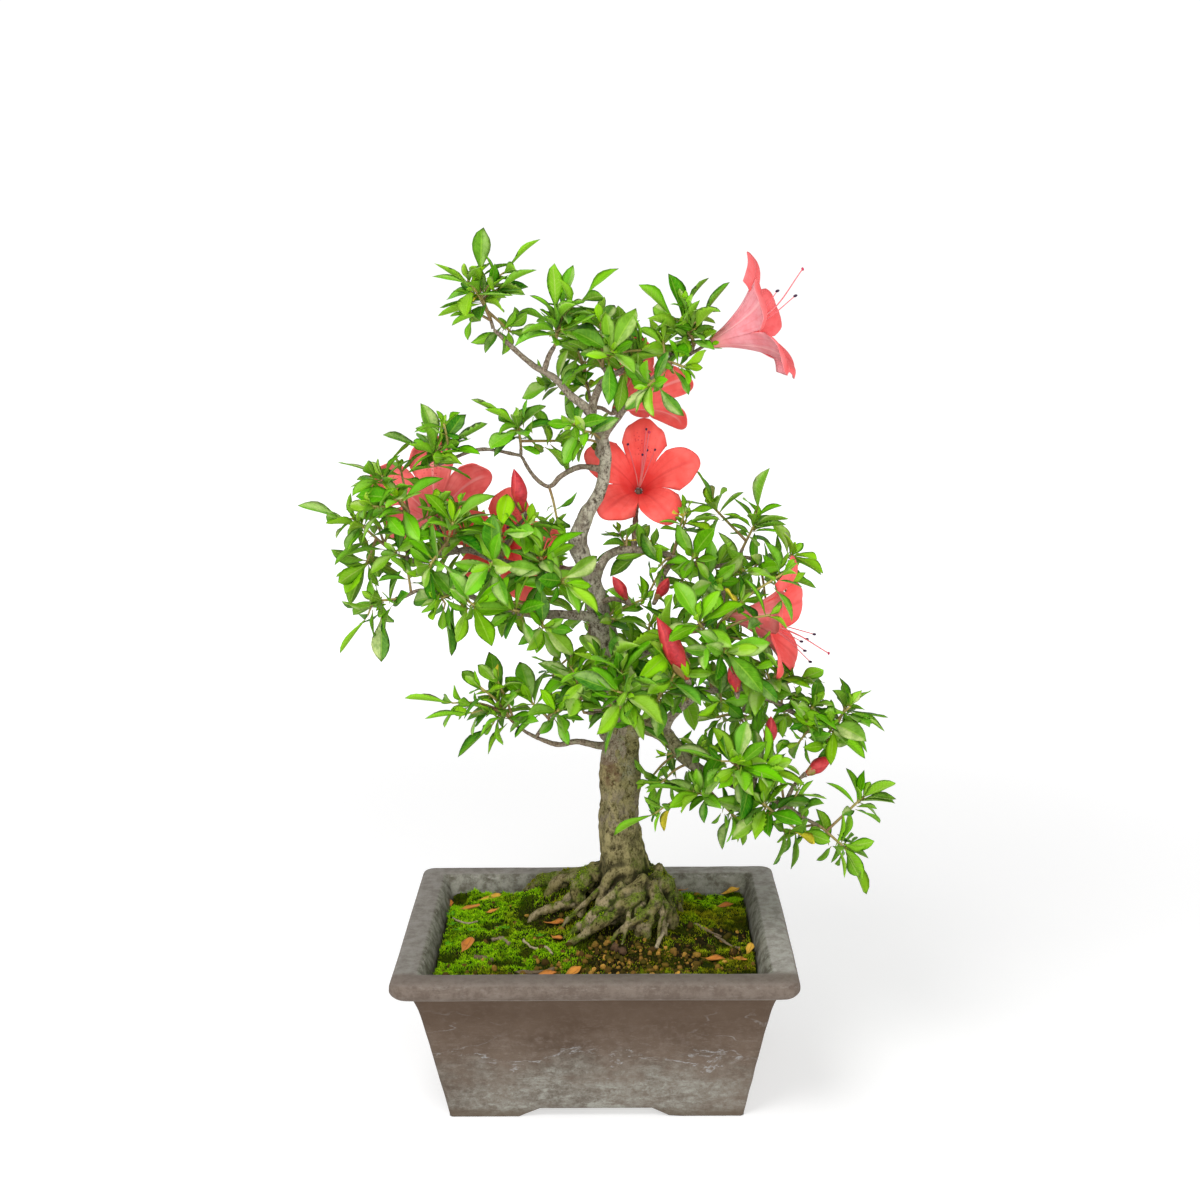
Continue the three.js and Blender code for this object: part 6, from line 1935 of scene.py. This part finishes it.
def make_side_leaves(leaf_material, stem_material):
    """Leafy side shoots along the limbs, one piece for each limb."""
    twigs = [curve(route, 3.0) for route in TWIG_ROUTES]
    for limb, shoots in SIDE_SHOOTS.items():
        build = leaf_build()
        row = random.Random("side " + limb)
        spots = np.concatenate([curve(LIMBS[limb], 3.0), *twigs])[:, :3]
        for shoot in shoots:
            top, length = vec(*shoot), row.uniform(15, 22)
            away = np.linalg.norm(spots + vec(0, 0, 4) - top, axis=1)
            start = spots[np.argmin(away)]
            middle = (start + top) / 2 + vec(0, 0, 0.08 * away.min())
            route = [np.append(start, 0.7), np.append(middle, 0.65), np.append(top, 0.6)]
            add_stem(build, route, 0.75, 0.55)
            for leaf, height in whorl(shoot_axes(route), top, length, row.choice((4, 5, 5, 6)), row):
                if clear_of_blooms(leaf):
                    add_leaf(build, leaf, height, row)
        build.piece("side_leaves_" + limb, "leaves", [leaf_material, stem_material])


TWIG_ROUTES = [twig_route(foot) for _, foot, _, _ in SPRAYS]


def make_twigs(bark_material):
    """The thin twigs out to each spray, flower and bud, with rings where leaves once grew."""
    build = Build("thick")
    routes = list(TWIG_ROUTES)
    stalks = [(at, face, 2 * size) for _, at, face, _, size in BLOOMS]
    stalks += [(foot, vec(*tip) - vec(*foot), 0.4 * wide) for _, foot, tip, wide in BUDS]
    for at, face, cup in stalks:
        seat = vec(*at) - unit(vec(*face)) * GAP
        neck = seat - unit(vec(*face)) * 3
        routes.append([*twig_route(neck), np.append(seat, cup)])
    for index, route in enumerate(routes):
        fine = curve(route, 1.4)
        centre = fine[:, None, :3]
        knots = 1 + 0.22 * np.abs(cloud(fine[:, :3], 3.2, 200 + index))[:, None, None]
        points, faces = loft(centre + (sections(fine, 9) - centre) * knots)
        build.add(points, faces, thick=np.repeat(fine[:, 3], 9))
    build.piece("twigs", "bark", [bark_material])


# ---------- light, floor and camera ----------

FLOOR_HALF = 3000
LIGHT_TARGET = (0, 0, 200)


def make_floor():
    ends = (-FLOOR_HALF, FLOOR_HALF)
    build = Build()
    build.add([(x, y, 0) for x, y in itertools.product(ends, ends)], [(0, 2, 3, 1)])
    mesh = build.mesh("floor")
    mesh.materials.append(floor_look())
    floor = in_scene("floor", mesh)


def stand(thing, right, up, back, place):
    """Puts a lamp or the camera at a place, by its own three directions."""
    rows = np.column_stack([right, up, back, place])
    thing.matrix_world = Matrix([*rows.tolist(), [0, 0, 0, 1]])


def make_light(name, place, size, watts):
    """A round studio light that faces the tree, so many metres across."""
    light = bpy.data.lights.new(name, "AREA")
    light.shape = "DISK"
    light.size = size
    light.energy = watts
    place = metres(vec(*place))
    back = unit(place - metres(vec(*LIGHT_TARGET)))
    right = unit(np.cross(vec(0, 0, 1), back))
    stand(in_scene(name, light), right, np.cross(back, right), back, place)


def make_world():
    """A white room: bright walls all round, and a dimmer ceiling."""
    world = bpy.data.worlds.new("studio")
    world.use_nodes = True
    tree = world.node_tree
    background = tree.nodes["Background"]
    background.inputs["Color"].default_value = (1, 1, 1, 1)
    place = tree.nodes.new("ShaderNodeTexCoord")
    split = tree.nodes.new("ShaderNodeSeparateXYZ")
    ceiling = tree.nodes.new("ShaderNodeMapRange")
    ceiling.interpolation_type = "SMOOTHSTEP"
    for socket, value in (("From Min", 0.16), ("From Max", 0.45), ("To Min", 1.06), ("To Max", 0.4)):
        ceiling.inputs[socket].default_value = value
    tree.links.new(place.outputs["Generated"], split.inputs[0])
    tree.links.new(split.outputs["Z"], ceiling.inputs["Value"])
    tree.links.new(ceiling.outputs["Result"], background.inputs["Strength"])
    bpy.context.scene.world = world
    bpy.context.scene.view_settings.view_transform = "Standard"


CAMERA_PLACE = (13.8, -827.8, 428.9)
CAMERA_PITCH, CAMERA_YAW, CAMERA_ROLL = 11.81, -0.71, -0.55
# The lens and the width of its film in millimetres, and how far it sees in metres
LENS, FILM_WIDTH, SIGHT = 50, 36, 20


def make_camera():
    pitch, yaw, roll = (math.radians(angle) for angle in (CAMERA_PITCH, CAMERA_YAW, CAMERA_ROLL))
    forward = vec(math.sin(yaw) * math.cos(pitch), math.cos(yaw) * math.cos(pitch), -math.sin(pitch))
    right = vec(math.cos(yaw), -math.sin(yaw), 0)
    up = np.cross(right, forward)
    right, up = (right * math.cos(roll) + up * math.sin(roll), up * math.cos(roll) - right * math.sin(roll))
    camera = in_scene("camera", bpy.data.cameras.new("camera"))
    camera.data.lens = LENS
    camera.data.sensor_width = FILM_WIDTH
    camera.data.clip_end = SIGHT
    stand(camera, right, up, -forward, metres(vec(*CAMERA_PLACE)))
    bpy.context.scene.camera = camera


# ---------- everything ----------

make_camera()
make_world()
make_floor()
make_light("key", (-450, -650, 1200), 0.7, 10)
make_light("fill", (250, -1100, 450), 0.9, 5.5)

leaf_green = leaf_look()
moss_green = moss_look()
tree_bark = bark_look()
young_stem = shoot_look()

make_pot()
make_soil()
make_moss(moss_green)
make_granules()
make_dry_leaves(dry_leaf_look())
make_litter()
make_seedlings(leaf_green)
make_wood(tree_bark, moss_green)
make_twigs(tree_bark)
make_blooms(petal_look(), thread_look(), leaf_green)
make_buds(bud_look(), leaf_green)
make_sprays(leaf_green, young_stem)
make_side_leaves(leaf_green, young_stem)
drain_plastic = screen_look()
for side in ("left", "right"):
    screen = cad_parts["drain_screen_" + side]
    screen.data.materials.clear()
    screen.data.materials.append(drain_plastic)
